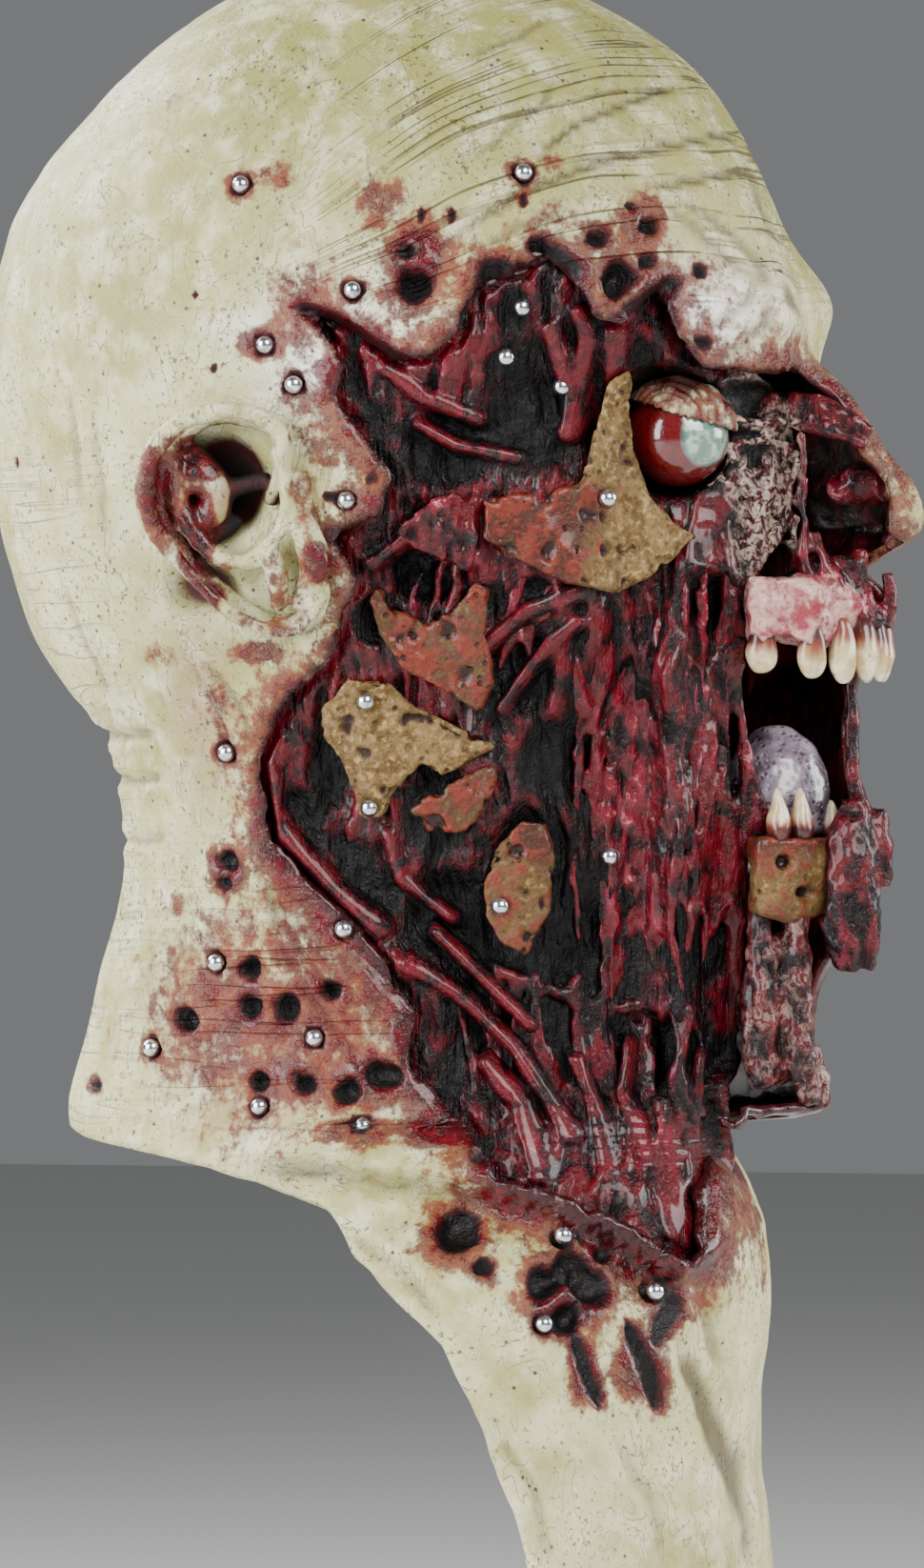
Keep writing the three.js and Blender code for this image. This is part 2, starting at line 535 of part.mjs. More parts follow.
// X of the wound bed's face at a point of the side view.
function bedFace(y, z) {
  return -Math.max(sideReach(y, z) - bedDepth(y, z), MIDLINE_CUT + BED_WALL);
}

// A slab over the grid of the side view whose near and far faces are given by functions of (y, z).
// Both faces split their squares along the same diagonal, so that slabs on one grid can lie face to face.
function sideSlab(nearX, farX) {
  const [across, down] = [BED_ALONGS.length, BED_DROPS.length];
  const positions = [];
  for (const face of [nearX, farX]) {
    for (const drop of BED_DROPS) {
      for (const along of BED_ALONGS) {
        const [y, z] = onSide([along, drop]);
        positions.push(face(y, z), y, z);
      }
    }
  }
  const far = across * down;
  const index = [];
  for (let row = 0; row < down - 1; row++) {
    for (let column = 0; column < across - 1; column++) {
      const a = row * across + column;
      const [b, c, d] = [a + 1, a + across + 1, a + across];
      index.push(a, b, c, a, c, d, far + a, far + c, far + b, far + a, far + d, far + c);
    }
  }
  const wall = (a, b) => index.push(a, far + b, b, a, far + a, far + b);
  for (let column = 0; column < across - 1; column++) {
    wall(column, column + 1);
    wall(far - column - 1, far - column - 2);
  }
  for (let row = 0; row < down - 1; row++) {
    wall((row + 1) * across, row * across);
    wall((row + 1) * across - 1, (row + 2) * across - 1);
  }
  const geometry = new THREE.BufferGeometry();
  geometry.setAttribute("position", new THREE.Float32BufferAttribute(positions, 3));
  geometry.setIndex(index);
  return solidOf(geometry);
}

// The grid of the side view that the bed and the plates on it share, so that their faces run parallel.
const BED_ALONGS = evenly(-0.43, 0.14, 11);
const BED_DROPS = evenly(1.14, 0.25, 17);

const bedOutline = (grow) => sidePrism(BED_OUTLINE, -HEAD_BREADTH, HEAD_BREADTH, grow);

function woundBed() {
  return sideSlab(bedFace, (y, z) => bedFace(y, z) + BED_WALL).intersect(bedOutline(0));
}

// The bed's own room and a gap: what stands on the bed is cut back to it.
function bedRoom() {
  const behind = GAP + EYE_DIAMETER;
  return sideSlab((y, z) => bedFace(y, z) - GAP, (y, z) => bedFace(y, z) + behind).intersect(bedOutline(GAP));
}

// A plate that lies on the wound bed and swells away from its outline.
function bedPlate(outline, rise) {
  const rim = rise * 0.45;
  const face = (y, z) => {
    const inland = THREE.MathUtils.smoothstep(distanceTo(outline, y, z), 0, 8);
    return bedFace(y, z) - THREE.MathUtils.lerp(rim, rise, inland);
  };
  const slab = sideSlab(face, (y, z) => bedFace(y, z) - GAP);
  return slab.intersect(sidePrism(outline, -HEAD_BREADTH, 0));
}

// Strands that hang over the wound bed, joined by a root that follows their tops.
function hangingStrands(rows, rootRadius, stand) {
  const over = (along, drop, radius) => {
    const [y, z] = onSide([along, drop]);
    return new THREE.Vector3(bedFace(y, z) - radius - stand, y, z);
  };
  const parts = rows.map(([topAlong, topDrop, tipAlong, tipDrop, radius, fattest]) => {
    const points = evenly(0, 1, 5).map((share) =>
      over(
        THREE.MathUtils.lerp(topAlong, tipAlong, share),
        THREE.MathUtils.lerp(topDrop - 0.01, tipDrop, share),
        radius,
      ),
    );
    const swell = (share) => radius * (0.45 + 0.55 * Math.exp(-(((share - fattest) / 0.2) ** 2)));
    return strand(points, swell);
  });
  const root = rows.map(([along, drop, , , radius]) => over(along, drop, radius));
  parts.push(strand(root, () => rootRadius, rows.length));
  return joined(parts);
}

function archPoint(arch, degrees, inset = 0) {
  const angle = THREE.MathUtils.degToRad(degrees);
  return [(arch.across - inset) * Math.sin(angle), arch.back - (arch.forward - inset) * Math.cos(angle)];
}

function archSlab(outline, bottomZ, topZ) {
  const shape = new THREE.Shape(outline.map((point) => new THREE.Vector2(...point)));
  const geometry = new THREE.ExtrudeGeometry(shape, { depth: topZ - bottomZ, bevelEnabled: false });
  return solidOf(geometry.translate(0, 0, bottomZ));
}

function gumArch(arch, fromDegrees, toDegrees, bottomZ, topZ, grow = 0) {
  const steps = evenly(fromDegrees, toDegrees, 8);
  const outer = steps.map((degrees) => archPoint(arch, degrees, -grow));
  const inner = steps.reverse().map((degrees) => archPoint(arch, degrees, GUM_DEPTH + grow));
  return archSlab([...outer, ...inner], bottomZ, topZ);
}

// The roof or the floor inside an arch
function archPlate(arch, bottomZ, topZ) {
  return archSlab(evenly(-66, 58, 8).map((degrees) => archPoint(arch, degrees, 1)), bottomZ, topZ);
}

function tooth([degrees, widthShare, heightShare], arch, gumZ, pointing, scale, grow = 0) {
  const height = TOOTH_HEIGHT * heightShare * scale;
  const geometry = new THREE.SphereGeometry(1, 6, 4);
  geometry.rotateX(Math.PI / 2);
  geometry.scale(
    (TOOTH_WIDTH * widthShare * scale) / 2 + grow,
    (TOOTH_DEPTH * scale) / 2 + grow,
    height * 0.62 + grow,
  );
  geometry.rotateX(pointing * -0.14);
  geometry.rotateZ(THREE.MathUtils.degToRad(degrees));
  const [x, y] = archPoint(arch, degrees, GUM_DEPTH / 2 - 1.5);
  geometry.translate(x, y, gumZ + pointing * height * 0.38);
  return solidOf(geometry);
}

// An ear: a bowl that stands out from the skull and flares to the back, with a fold and a tragus.
function ear(side) {
  const curve = new THREE.SplineCurve(EAR_OUTLINE.map((point) => new THREE.Vector2(...onSide(point))));
  const outline = curve.getPoints(12).slice(0, -1);
  const anchor = new THREE.Vector2(...onSide([0.09, 0.5]));
  const frontY = onSide(TRAGUS)[0];
  const standAt = (y) => EAR_STAND + EAR_FLARE * (y - frontY);
  const bowl = (inset, baseStand, extra) => {
    const shape = new THREE.Shape(inset ? grownOutline(outline, -inset) : outline);
    const geometry = new THREE.ExtrudeGeometry(shape, { depth: 1, bevelEnabled: false });
    const position = geometry.attributes.position;
    for (let i = 0; i < position.count; i++) {
      const atRim = position.getZ(i) > 0.5;
      const place = new THREE.Vector2(position.getX(i), position.getY(i));
      if (!atRim) place.sub(anchor).multiply(new THREE.Vector2(0.72, 0.8)).add(anchor);
      const stand = atRim ? standAt(place.x) + extra : baseStand;
      position.setXYZ(i, side * (sideReach(place.x, place.y) + stand), place.x, place.y);
    }
    return solidOf(geometry);
  };
  const raised = (point, lift) => {
    const [y, z] = onSide(point);
    return new THREE.Vector3(side * (sideReach(y, z) + lift(y)), y, z);
  };
  const fold = strand(EAR_FOLD.map((point) => raised(point, (y) => standAt(y) * 0.62)), () => EAR_RIM * 0.9);
  const tragus = ellipsoid(raised(TRAGUS, () => 6.5).toArray(), [5, 5, 6.5], BALL_SIDES, 5);
  return bowl(0, EAR_LIFT, 0).subtract(bowl(EAR_RIM, EAR_RIM + EAR_LIFT, EAR_STAND)).add(fold).add(tragus);
}

// The lid: a cap of a shell that hangs over the top of the eye.
function lidRoom(eye, grow) {
  const lid = new THREE.BoxGeometry(60, 60, 60 + 2 * grow).rotateX(0.3).translate(eye[0], eye[1] - 8, eye[2] + 35);
  return ball(eye, EYE_DIAMETER / 2 + GAP + EYELID_WALL + grow, 10).intersect(solidOf(lid));
}

// The socket's rim: half a shell behind the eye, which looks out between the right and the front.
function eyeCup(eye) {
  const size = 2 * EYE_DIAMETER + 4 * BED_WALL;
  const open = new THREE.BoxGeometry(size, size, size).translate(-size / 2 - CUP_LIP, 0, 0);
  const cup = ball(eye, EYE_DIAMETER / 2 + GAP + BED_WALL, 10);
  return cup.subtract(solidOf(open.rotateZ(EYE_TURN).translate(...eye)));
}

// Sinks the pellets into whatever each first meets from the right, and cuts a pit there for each.
function sinkPellets(solids, hosts) {
  const ray = new THREE.Raycaster();
  const meshes = hosts.map((name) => meshOf(name, solids.get(name), "skin"));
  const radius = PELLET_DIAMETER / 2;
  return PELLETS.map((place) => {
    const [y, z] = onSide(place);
    ray.set(new THREE.Vector3(-HEAD_BREADTH, y, z), new THREE.Vector3(1, 0, 0));
    const { point, face, object } = ray.intersectObjects(meshes, false)[0];
    point.addScaledVector(face.normal, radius - PELLET_SUNK * PELLET_DIAMETER);
    const pit = ball(point.toArray(), radius + GAP, BALL_SIDES);
    solids.set(object.name, solids.get(object.name).subtract(pit));
    return ball(point.toArray(), radius, BALL_SIDES);
  });
}

function buildMask() {
  const solids = new Map();
  const kinds = new Map();
  const keep = (name, kind, solid) => {
    solids.set(name, solid);
    kinds.set(name, kind);
  };
  const hollow = innerBody(WALL + GAP);
  const onBed = bedRoom();
  const teeth = (rows, arch, gumZ, pointing, scale, grow) =>
    rows.map((row) => tooth(row, arch, gumZ, pointing, scale, grow));
  const upperTeeth = (grow) => teeth(UPPER_TEETH, UPPER_ARCH, UPPER_GUM_Z, -1, 1, grow);
  const lowerTeeth = (grow) => teeth(LOWER_TEETH, LOWER_ARCH, LOWER_GUM_Z, 1, LOWER_TOOTH_SCALE, grow);

  // The skin, its openings and the wound
  const cuts = [
    innerBody(WALL),
    sidePrism(WOUND_OUTLINE, -HEAD_BREADTH, -MIDLINE_CUT),
    sidePrism(HEM_OUTLINE, -BIB_BREADTH, BIB_BREADTH),
    ellipsoid([-MIDLINE_CUT - 2, -0.475 * HEAD_LENGTH, headLevel(0.475)], [
      0.2 * HALF_BREADTH - NOSE_WALL, 0.112 * HEAD_LENGTH, 0.055 * HEAD_HEIGHT,
    ]),
    ellipsoid([-0.02 * HALF_BREADTH, -0.53 * HEAD_LENGTH, headLevel(0.65)], [
      0.29 * HALF_BREADTH, 0.16 * HEAD_LENGTH, 0.075 * HEAD_HEIGHT,
    ]),
    ellipsoid([0.36 * HALF_BREADTH, -0.44 * HEAD_LENGTH, headLevel(0.425)], [
      EYE_HOLE_WIDTH / 2, 0.12 * HEAD_LENGTH, EYE_HOLE_HEIGHT / 2,
    ]),
    joined(upperTeeth(GAP)),
  ];
  keep("head_skin", "skin", cuts.reduce((skin, cut) => skin.subtract(cut), outerBody()));

  // The eye and the flesh and bone that the wound lays bare
  const eye = [-0.374 * HALF_BREADTH, -0.354 * HEAD_LENGTH, headLevel(0.42)];
  const eyeRoom = ball(eye, EYE_DIAMETER / 2 + GAP, 10);
  keep(
    "wound_bed", "flesh",
    woundBed().add(eyeCup(eye)).subtract(eyeRoom).subtract(lidRoom(eye, GAP)).intersect(hollow),
  );
  keep("eyeball", "eye", ball(eye, EYE_DIAMETER / 2, 10));
  keep("eyelid", "skin", lidRoom(eye, 0).subtract(eyeRoom));
  for (const { name, kind, rise, outline } of PLATES) keep(name, kind, bedPlate(outline, rise).subtract(eyeRoom));
  keep("cheek_strands", "flesh", hangingStrands(CHEEK_STRANDS, 2.4, 2).subtract(onBed));
  keep("neck_sinews", "flesh", hangingStrands(NECK_SINEWS, 2.6, 2.4).subtract(onBed));

  // The ears
  keep("right_ear", "skin", ear(-1));
  keep("left_ear", "skin", ear(1));

  // The mouth
  const upperTop = UPPER_GUM_Z + GUM_HEIGHT;
  const lowerFloor = LOWER_GUM_Z - GUM_HEIGHT * 1.5;
  const upperGum = gumArch(UPPER_ARCH, -75, 58, UPPER_GUM_Z, upperTop).add(
    archPlate(UPPER_ARCH, upperTop - WALL, upperTop),
  );
  const lowerGum = gumArch(LOWER_ARCH, -66, 62, lowerFloor, LOWER_GUM_Z).add(
    archPlate(LOWER_ARCH, lowerFloor, lowerFloor + WALL),
  );
  keep("upper_gum", "flesh", upperGum.intersect(hollow).subtract(onBed).subtract(joined(upperTeeth(GAP))));
  keep("lower_gum", "bone", lowerGum.intersect(hollow).subtract(onBed).subtract(joined(lowerTeeth(GAP))));
  upperTeeth(0).forEach((solid, i) => keep(`upper_tooth_${i + 1}`, "tooth", solid));
  lowerTeeth(0).forEach((solid, i) => keep(`lower_tooth_${i + 1}`, "tooth", solid));
  const tongue = ellipsoid(
    [0.04 * HALF_BREADTH, -0.44 * HEAD_LENGTH, headLevel(0.728)],
    [0.18 * HALF_BREADTH, 0.066 * HEAD_LENGTH, 0.072 * HEAD_HEIGHT], 10, 7,
  );
  const floorCut = solidOf(
    new THREE.BoxGeometry(HEAD_BREADTH, HEAD_LENGTH, GUM_HEIGHT)
      .translate(0, LOWER_ARCH.back, lowerFloor + WALL + GAP - GUM_HEIGHT / 2),
  );
  const gumRoom = gumArch(LOWER_ARCH, -67.5, 63.5, lowerFloor, LOWER_GUM_Z + GAP, GAP);
  keep("tongue", "flesh", [floorCut, gumRoom, ...lowerTeeth(GAP)].reduce((body, cut) => body.subtract(cut), tongue));
  const lip = ellipsoid(
    [-MIDLINE_CUT - GAP - 5, -0.535 * HEAD_LENGTH, headLevel(0.8)],
    [5, 0.036 * HEAD_LENGTH, 0.075 * HEAD_HEIGHT], 8, 7,
  );
  keep("torn_lip", "flesh", lip.subtract(gumRoom));
  const stump = ellipsoid(
    [-0.1 * HALF_BREADTH, -0.454 * HEAD_LENGTH, headLevel(0.9)],
    [0.17 * HALF_BREADTH, 0.04 * HEAD_LENGTH, 0.068 * HEAD_HEIGHT], 9, 6,
  );
  keep("jaw_stump", "bone", stump.subtract(onBed).intersect(hollow));

  // Steel pellets, shot into the right side
  const hosts = ["head_skin", "wound_bed", "right_ear", ...PLATES.map(({ name }) => name)];
  sinkPellets(solids, hosts).forEach((solid, i) => keep(`pellet_${i + 1}`, "steel", solid));

  const group = new THREE.Group();
  for (const [name, solid] of solids) group.add(meshOf(name, solid, kinds.get(name)));
  return group;
}

export default buildMask();
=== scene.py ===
"""Looks of a full-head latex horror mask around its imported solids, as an add-on that runs as a script."""
import functools
import math

import bmesh
import bpy
import numpy as np
from bpy.props import FloatProperty, FloatVectorProperty, PointerProperty
from mathutils import Matrix, Vector


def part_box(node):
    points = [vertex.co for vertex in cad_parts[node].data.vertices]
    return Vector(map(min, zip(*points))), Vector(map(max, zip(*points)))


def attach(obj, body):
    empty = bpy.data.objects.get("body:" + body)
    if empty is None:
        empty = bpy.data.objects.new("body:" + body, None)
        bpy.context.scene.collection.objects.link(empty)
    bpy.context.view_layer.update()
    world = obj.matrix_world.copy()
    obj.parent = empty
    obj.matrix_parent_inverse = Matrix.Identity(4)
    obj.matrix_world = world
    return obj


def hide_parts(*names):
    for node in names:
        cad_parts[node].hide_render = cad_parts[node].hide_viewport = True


bl_info = {
    "name": "Latex horror mask",
    "version": (1, 0, 0),
    "blender": (4, 5, 0),
    "location": "View3D > Sidebar > Mask",
    "description": "Builds the skin, flesh, bone, teeth, eye, ears and steel shot of a latex horror mask",
    "category": "Object",
}

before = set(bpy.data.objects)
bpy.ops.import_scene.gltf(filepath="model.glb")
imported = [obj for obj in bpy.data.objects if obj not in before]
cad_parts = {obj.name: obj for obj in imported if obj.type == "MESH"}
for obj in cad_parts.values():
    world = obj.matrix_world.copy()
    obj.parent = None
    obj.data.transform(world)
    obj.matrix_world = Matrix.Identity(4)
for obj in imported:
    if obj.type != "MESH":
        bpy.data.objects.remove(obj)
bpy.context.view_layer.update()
MM = 0.001

# Sizes in millimetres, the same as the solids have
LENGTH, HALF, HEIGHT = 230.0, 91.0, 319.0
COLLAR_DEPTH, BIB_HALF, BIB_DROP = 190.0, 101.0, 136.0
CROWN = 3.0
MIDLINE_CUT = 4.0
SKIN_FOOT = -451.7
SKIN_WALL, BED_WALL, BED_STEP = 2.4, 2.2, .8
SHOT_COUNT, SHOT_RADIUS = 24, 2.5
EYEBALL_RADIUS = 13.9
GAZE = Vector((-math.cos(.9), -math.sin(.9), -.05))
EYE = np.array([-34.0, -81.4, -131.0])
UPPER_ARCH = (35.0, 46.0, -89.0, -183.0)
LOWER_ARCH = (27.3, 33.35, -88.1, -238.5)

# Level sections: drop, back, front, half, centre, front power, back power, in shares of the sizes above
HEAD_SECTIONS = [
    (0, 0, 0, 0, 0, 2, 2), (.011, .117, .117, .27, .009, 2, 2), (.041, .215, .209, .49, .017, 2.1, 2),
    (.073, .283, .287, .637, .026, 2.1, 2), (.106, .337, .343, .736, .035, 2.2, 2),
    (.139, .381, .378, .813, .043, 2.2, 2), (.187, .437, .413, .901, .052, 2.3, 2.05),
    (.236, .474, .439, .956, .061, 2.4, 2.1), (.285, .491, .461, .989, .065, 2.4, 2.1),
    (.334, .499, .474, 1, .065, 2.4, 2.1), (.382, .5, .483, .995, .065, 2.4, 2.1),
    (.433, .499, .483, .978, .065, 2.4, 2.1), (.48, .491, .487, .956, .061, 2.3, 2.1),
    (.51, .483, .496, .944, .059, 2.2, 2.1), (.53, .474, .535, .93, .055, 2.1, 2.1),
    (.555, .464, .56, .915, .05, 2.05, 2.1), (.58, .451, .56, .901, .045, 2, 2.1),
    (.627, .41, .537, .868, .035, 2, 2.1), (.677, .354, .53, .835, .026, 1.9, 2.1),
    (.724, .341, .533, .802, .017, 1.9, 2.1), (.774, .337, .533, .769, .009, 1.9, 2.1),
    (.821, .348, .515, .736, 0, 1.9, 2.1), (.871, .37, .496, .714, -.004, 1.9, 2.1),
    (.922, .387, .487, .703, -.009, 1.9, 2.1), (.962, .404, .491, .703, -.013, 1.9, 2.1),
    (.984, .41, .5, .71, -.013, 1.9, 2.1), (.992, .41, .487, .714, -.013, 2, 2.1),
]
COLLAR_SECTIONS = [
    (0, .495, .45, .653, -.021, 2.1, 2.1), (.12, .484, .489, .713, -.026, 2.2, 2.1),
    (.21, .474, .511, .772, -.032, 2.2, 2.1), (.31, .463, .516, .832, -.037, 2.2, 2.1),
    (.43, .453, .511, .891, -.042, 2.2, 2.1), (.54, .442, .5, .931, -.047, 2.2, 2.1),
    (.68, .432, .5, .96, -.053, 2.2, 2.1), (.81, .421, .511, .98, -.058, 2.2, 2.1),
    (1, .411, .521, 1, -.063, 2.2, 2.1),
]
# across, drop, wide, tall, rise
FACE_FORMS = [
    (-.34, .315, .24, .035, .03), (.34, .3, .24, .04, .034), (.36, .415, .2, .035, -.05),
    (.36, .425, .13, .026, .024), (.52, .515, .22, .05, .02), (.5, .7, .2, .08, -.025),
    (0, .567, .32, .03, .022), (.24, .665, .16, .06, .018), (.12, .775, .26, .032, .045),
    (.12, .835, .24, .03, .03),
]
NOSE_SECTIONS = [
    (.345, 0, .1), (.36, .02, .1), (.383, .05, .11), (.408, .074, .12), (.433, .096, .14), (.458, .122, .17),
    (.481, .13, .2), (.497, .124, .22), (.509, .1, .21), (.518, .065, .18), (.53, 0, .14),
]
# Ellipsoids cut from the skin: centre and radii in mm
NOSE_HOLLOW = (-6, -109.3, -148.5), (14.8, 25.8, 17.5)
MOUTH = (-1.8, -121.9, -204.4), (26.4, 36.8, 23.9)
EYE_SLOT = (32.8, -101.2, -132.6), (13, 27.6, 4)
# Outlines of the right side: along (the face is -) and drop, in shares of the head's length and height
WOUND_OUTLINE = [
    (.031, .319), (-.027, .338), (-.07, .361), (-.108, .361), (-.145, .342), (-.166, .303), (-.212, .291),
    (-.242, .277), (-.269, .294), (-.295, .33), (-.324, .329), (-.366, .3), (-.379, .34), (-.405, .367),
    (-.448, .372), (-.483, .366), (-.52, .385), (-.548, .43), (-.585, .47), (-.582, .5), (-.64, .53),
    (-.7, .6), (-.7, .99), (-.383, .99), (-.376, 1.022), (-.384, 1.075), (-.375, 1.113), (-.336, 1.098),
    (-.256, 1.068), (-.17, 1.044), (-.133, .998), (-.066, .947), (-.068, .899), (-.028, .859),
    (.032, .808), (.095, .761), (.105, .693), (.066, .642), (.013, .607), (-.025, .544), (.006, .505),
    (-.055, .494), (-.065, .459), (-.041, .424), (-.004, .396), (-.02, .366),
]
BED_OUTLINE = [
    (.05, .305), (-.06, .34), (-.13, .335), (-.15, .29), (-.24, .262), (-.3, .31), (-.38, .28), (-.42, .35),
    (-.46, .39), (-.475, .44), (-.465, .5), (-.44, .54), (-.42, .58), (-.405, .62), (-.405, .96), (-.4, 1.0),
    (-.4, 1.13), (-.34, 1.115), (-.25, 1.085), (-.155, 1.06), (-.11, 1.01), (-.045, .955), (-.045, .91),
    (-.01, .875), (.055, .825), (.12, .77), (.13, .69), (.09, .625), (.035, .59), (.02, .545), (.03, .49),
    (-.03, .475), (-.04, .455), (-.015, .435), (.03, .4), (.01, .36),
]
HEM_OUTLINE = [
    (.7, .99), (.42, 1.001), (.359, 1.013), (.252, 1.023), (.16, 1.035), (.075, 1.044), (.025, 1.058),
    (.003, 1.079), (-.053, 1.125), (-.128, 1.17), (-.163, 1.216), (-.189, 1.263), (-.215, 1.309),
    (-.232, 1.352), (-.245, 1.394), (-.25, 1.6), (.7, 1.6),
]


# Numbers
def lattice(i, j, k, seed):
    h = (i * 73856093) ^ (j * 19349663) ^ (k * 83492791) ^ (seed * 265443576)
    h = (h ^ (h >> 13)) & 0xFFFFFFFF
    h = (h * 1274126177) & 0xFFFFFFFF
    return ((h ^ (h >> 16)) & 0xFFFF) / 32767.5 - 1


def noise(p, size, seed=0):
    """Smooth noise from -1 to 1 at points p, with features about size across (one number or one an axis)."""
    q = p / np.asarray(size, float)
    c = np.floor(q).astype(np.int64)
    f = q - c
    f = f * f * (3 - 2 * f)
    total = np.zeros(len(p))
    for corner in range(8):
        o = [(corner >> axis) & 1 for axis in range(3)]
        w = np.ones(len(p))
        for axis in range(3):
            w = w * (f[:, axis] if o[axis] else 1 - f[:, axis])
        total += w * lattice(c[:, 0] + o[0], c[:, 1] + o[1], c[:, 2] + o[2], seed)
    return total


def fractal(p, size, octaves=3, seed=0):
    size = np.asarray(size, float)
    total, share, full = 0, 1.0, 0
    for k in range(octaves):
        total = total + share * noise(p + 17.3 * k, size / 2 ** k, seed + k)
        full += share
        share *= 0.5
    return total / full


def ridged(p, size, seed=0, octaves=2):
    total, share, full = 0, 1.0, 0
    for k in range(octaves):
        total = total + share * (1 - np.abs(noise(p, np.asarray(size, float) / 2 ** k, seed + k)))
        full += share
        share *= 0.5
    return total / full


def smooth(value, low, high):
    t = np.clip((value - low) / (high - low), 0, 1)
    return t * t * (3 - 2 * t)


def read_table(rows, at):
    """The other columns of a table at values of its first, eased between rows without overshooting."""
    t = np.asarray(rows, float)
    x, v = t[:, 0], t[:, 1:]
    at = np.clip(np.asarray(at, float), x[0], x[-1])
    h = np.diff(x)
    s = np.diff(v, axis=0) / h[:, None]
    m = np.zeros_like(v)
    m[0], m[-1] = s[0], s[-1]
    a, b = s[:-1], s[1:]
    ok = a * b > 0
    m[1:-1][ok] = (2 * a * b)[ok] / (a + b)[ok]
    i = np.clip(np.searchsorted(x, at, side="right") - 1, 0, len(h) - 1)
    u = ((at - x[i]) / h[i])[:, None]
    w = h[i][:, None]
    return (v[i] * (2 * u**3 - 3 * u**2 + 1) + v[i + 1] * (3 * u**2 - 2 * u**3)
            + w * (m[i] * (u**3 - 2 * u**2 + u) + m[i + 1] * (u**3 - u**2)))


SECTIONS = [(d * HEIGHT, b * LENGTH, f * LENGTH, h * HALF, c * LENGTH, p, q)
            for d, b, f, h, c, p, q in HEAD_SECTIONS] + [
    (HEIGHT + d * BIB_DROP, b * COLLAR_DEPTH, f * COLLAR_DEPTH, h * BIB_HALF, c * COLLAR_DEPTH, p, q)
    for d, b, f, h, c, p, q in COLLAR_SECTIONS]


def side_reach(y, z):
    """How far the head's outline lies from the middle plane at points of the side view."""
    back, front, half, centre, pf, pb = read_table(SECTIONS, CROWN - z).T
    behind = y >= centre
    share = np.where(behind, (y - centre) / np.maximum(back - centre, .1),
                     (centre - y) / np.maximum(front + centre, .1))
    power = np.where(behind, pb, pf)
    inside = np.clip(share, 0, 1)
    return np.where(share >= 1, 0, half * (1 - inside**power) ** (1 / power))


def face_rise(x, z):
    across, drop = x / HALF, (CROWN - z) / HEIGHT
    rise = 0
    for a, d, wide, tall, height in FACE_FORMS:
        rise = rise + height * np.exp(-((across - a) / wide) ** 2 - ((drop - d) / tall) ** 2)
    nose, half = read_table(NOSE_SECTIONS, drop).T
    nose = np.where((drop < NOSE_SECTIONS[0][0]) | (drop > NOSE_SECTIONS[-1][0]), 0, nose)
    share = np.clip(np.abs(x) / (half * HALF), 0, 1)
    return LENGTH * (rise + nose * (1 - share**2.2) ** 0.9)


def skin_point(angle, z):
    back, front, half, centre, pf, pb = read_table(SECTIONS, CROWN - z).T
    sine, cosine = np.sin(angle), np.cos(angle)
    fore = cosine > 0
    power = 2 / np.where(fore, pf, pb)
    reach = np.where(fore, -(front + centre), back - centre)
    x = half * np.sign(sine) * np.abs(sine) ** power
    y = centre + reach * np.abs(cosine) ** power
    return np.stack([x, np.where(fore, y - face_rise(x, z), y), z], 1)


def side(points):
    return np.array([(a * LENGTH, CROWN - d * HEIGHT) for a, d in points])


def outline_distance(corners, y, z):
    """Distance to a closed outline of the side view, negative inside it."""
    p = np.stack([y, z], 1)
    best = np.full(len(p), 1e9)
    inside = np.zeros(len(p), bool)
    for a, b in zip(corners, np.roll(corners, -1, 0)):
        e = b - a
        t = np.clip(((p - a) @ e) / (e @ e), 0, 1)
        best = np.minimum(best, np.hypot(*(p - a - t[:, None] * e).T))
        cross = (a[1] > p[:, 1]) != (b[1] > p[:, 1])
        at = a[0] + (p[:, 1] - a[1]) / np.where(b[1] == a[1], 1e-9, b[1] - a[1]) * (b[0] - a[0])
        inside ^= cross & (p[:, 0] < at)
    return np.where(inside, -best, best)


def line_distance(points, y, z):
    """Distance to an open line of the side view, and the share of the way along it."""
    p = np.stack([y, z], 1)
    points = np.asarray(points, float)
    best, along = np.full(len(p), 1e9), np.zeros(len(p))
    for k, (a, b) in enumerate(zip(points[:-1], points[1:])):
        e = b - a
        t = np.clip(((p - a) @ e) / max(e @ e, 1e-9), 0, 1)
        d = np.hypot(*(p - a - t[:, None] * e).T)
        near = d < best
        best = np.where(near, d, best)
        along = np.where(near, (k + t) / (len(points) - 1), along)
    return best, along


# The camera's view: its turn to the front, its distance, mm a pixel in the head's middle plane, what lies at
# the centre of the picture, that centre in pixels, and a first guess of the corner's place in the side view
TURN, FAR, PIXEL = math.radians(13), 2223.0, 0.26
AIM_U, AIM_Z = 14.3, -224.0
MIDDLE_X, MIDDLE_Y = 485, 823
CORNER_Y, CORNER_Z = 111.8, -10


def seen(points, depth=0.0, plane=None):
    """Places (x, y, z) that show at points of the view, so deep below the head's side or in a plane of x."""
    pts = np.atleast_2d(np.asarray(points, float))
    y, z = CORNER_Y - PIXEL * pts[:, 0], CORNER_Z - PIXEL * pts[:, 1]
    x = np.zeros(len(pts))
    for _ in range(40):
        x = -np.maximum(side_reach(y, z) - depth, 0) if plane is None else np.full(len(pts), float(plane))
        m = FAR / (FAR + x * math.cos(TURN) + y * math.sin(TURN))
        u = AIM_U + (pts[:, 0] - MIDDLE_X) * PIXEL / m
        z = AIM_Z - (pts[:, 1] - MIDDLE_Y) * PIXEL / m
        y = 0.5 * y + 0.5 * -(u - x * math.sin(TURN)) / math.cos(TURN)
    return np.stack([x, y, z], 1)


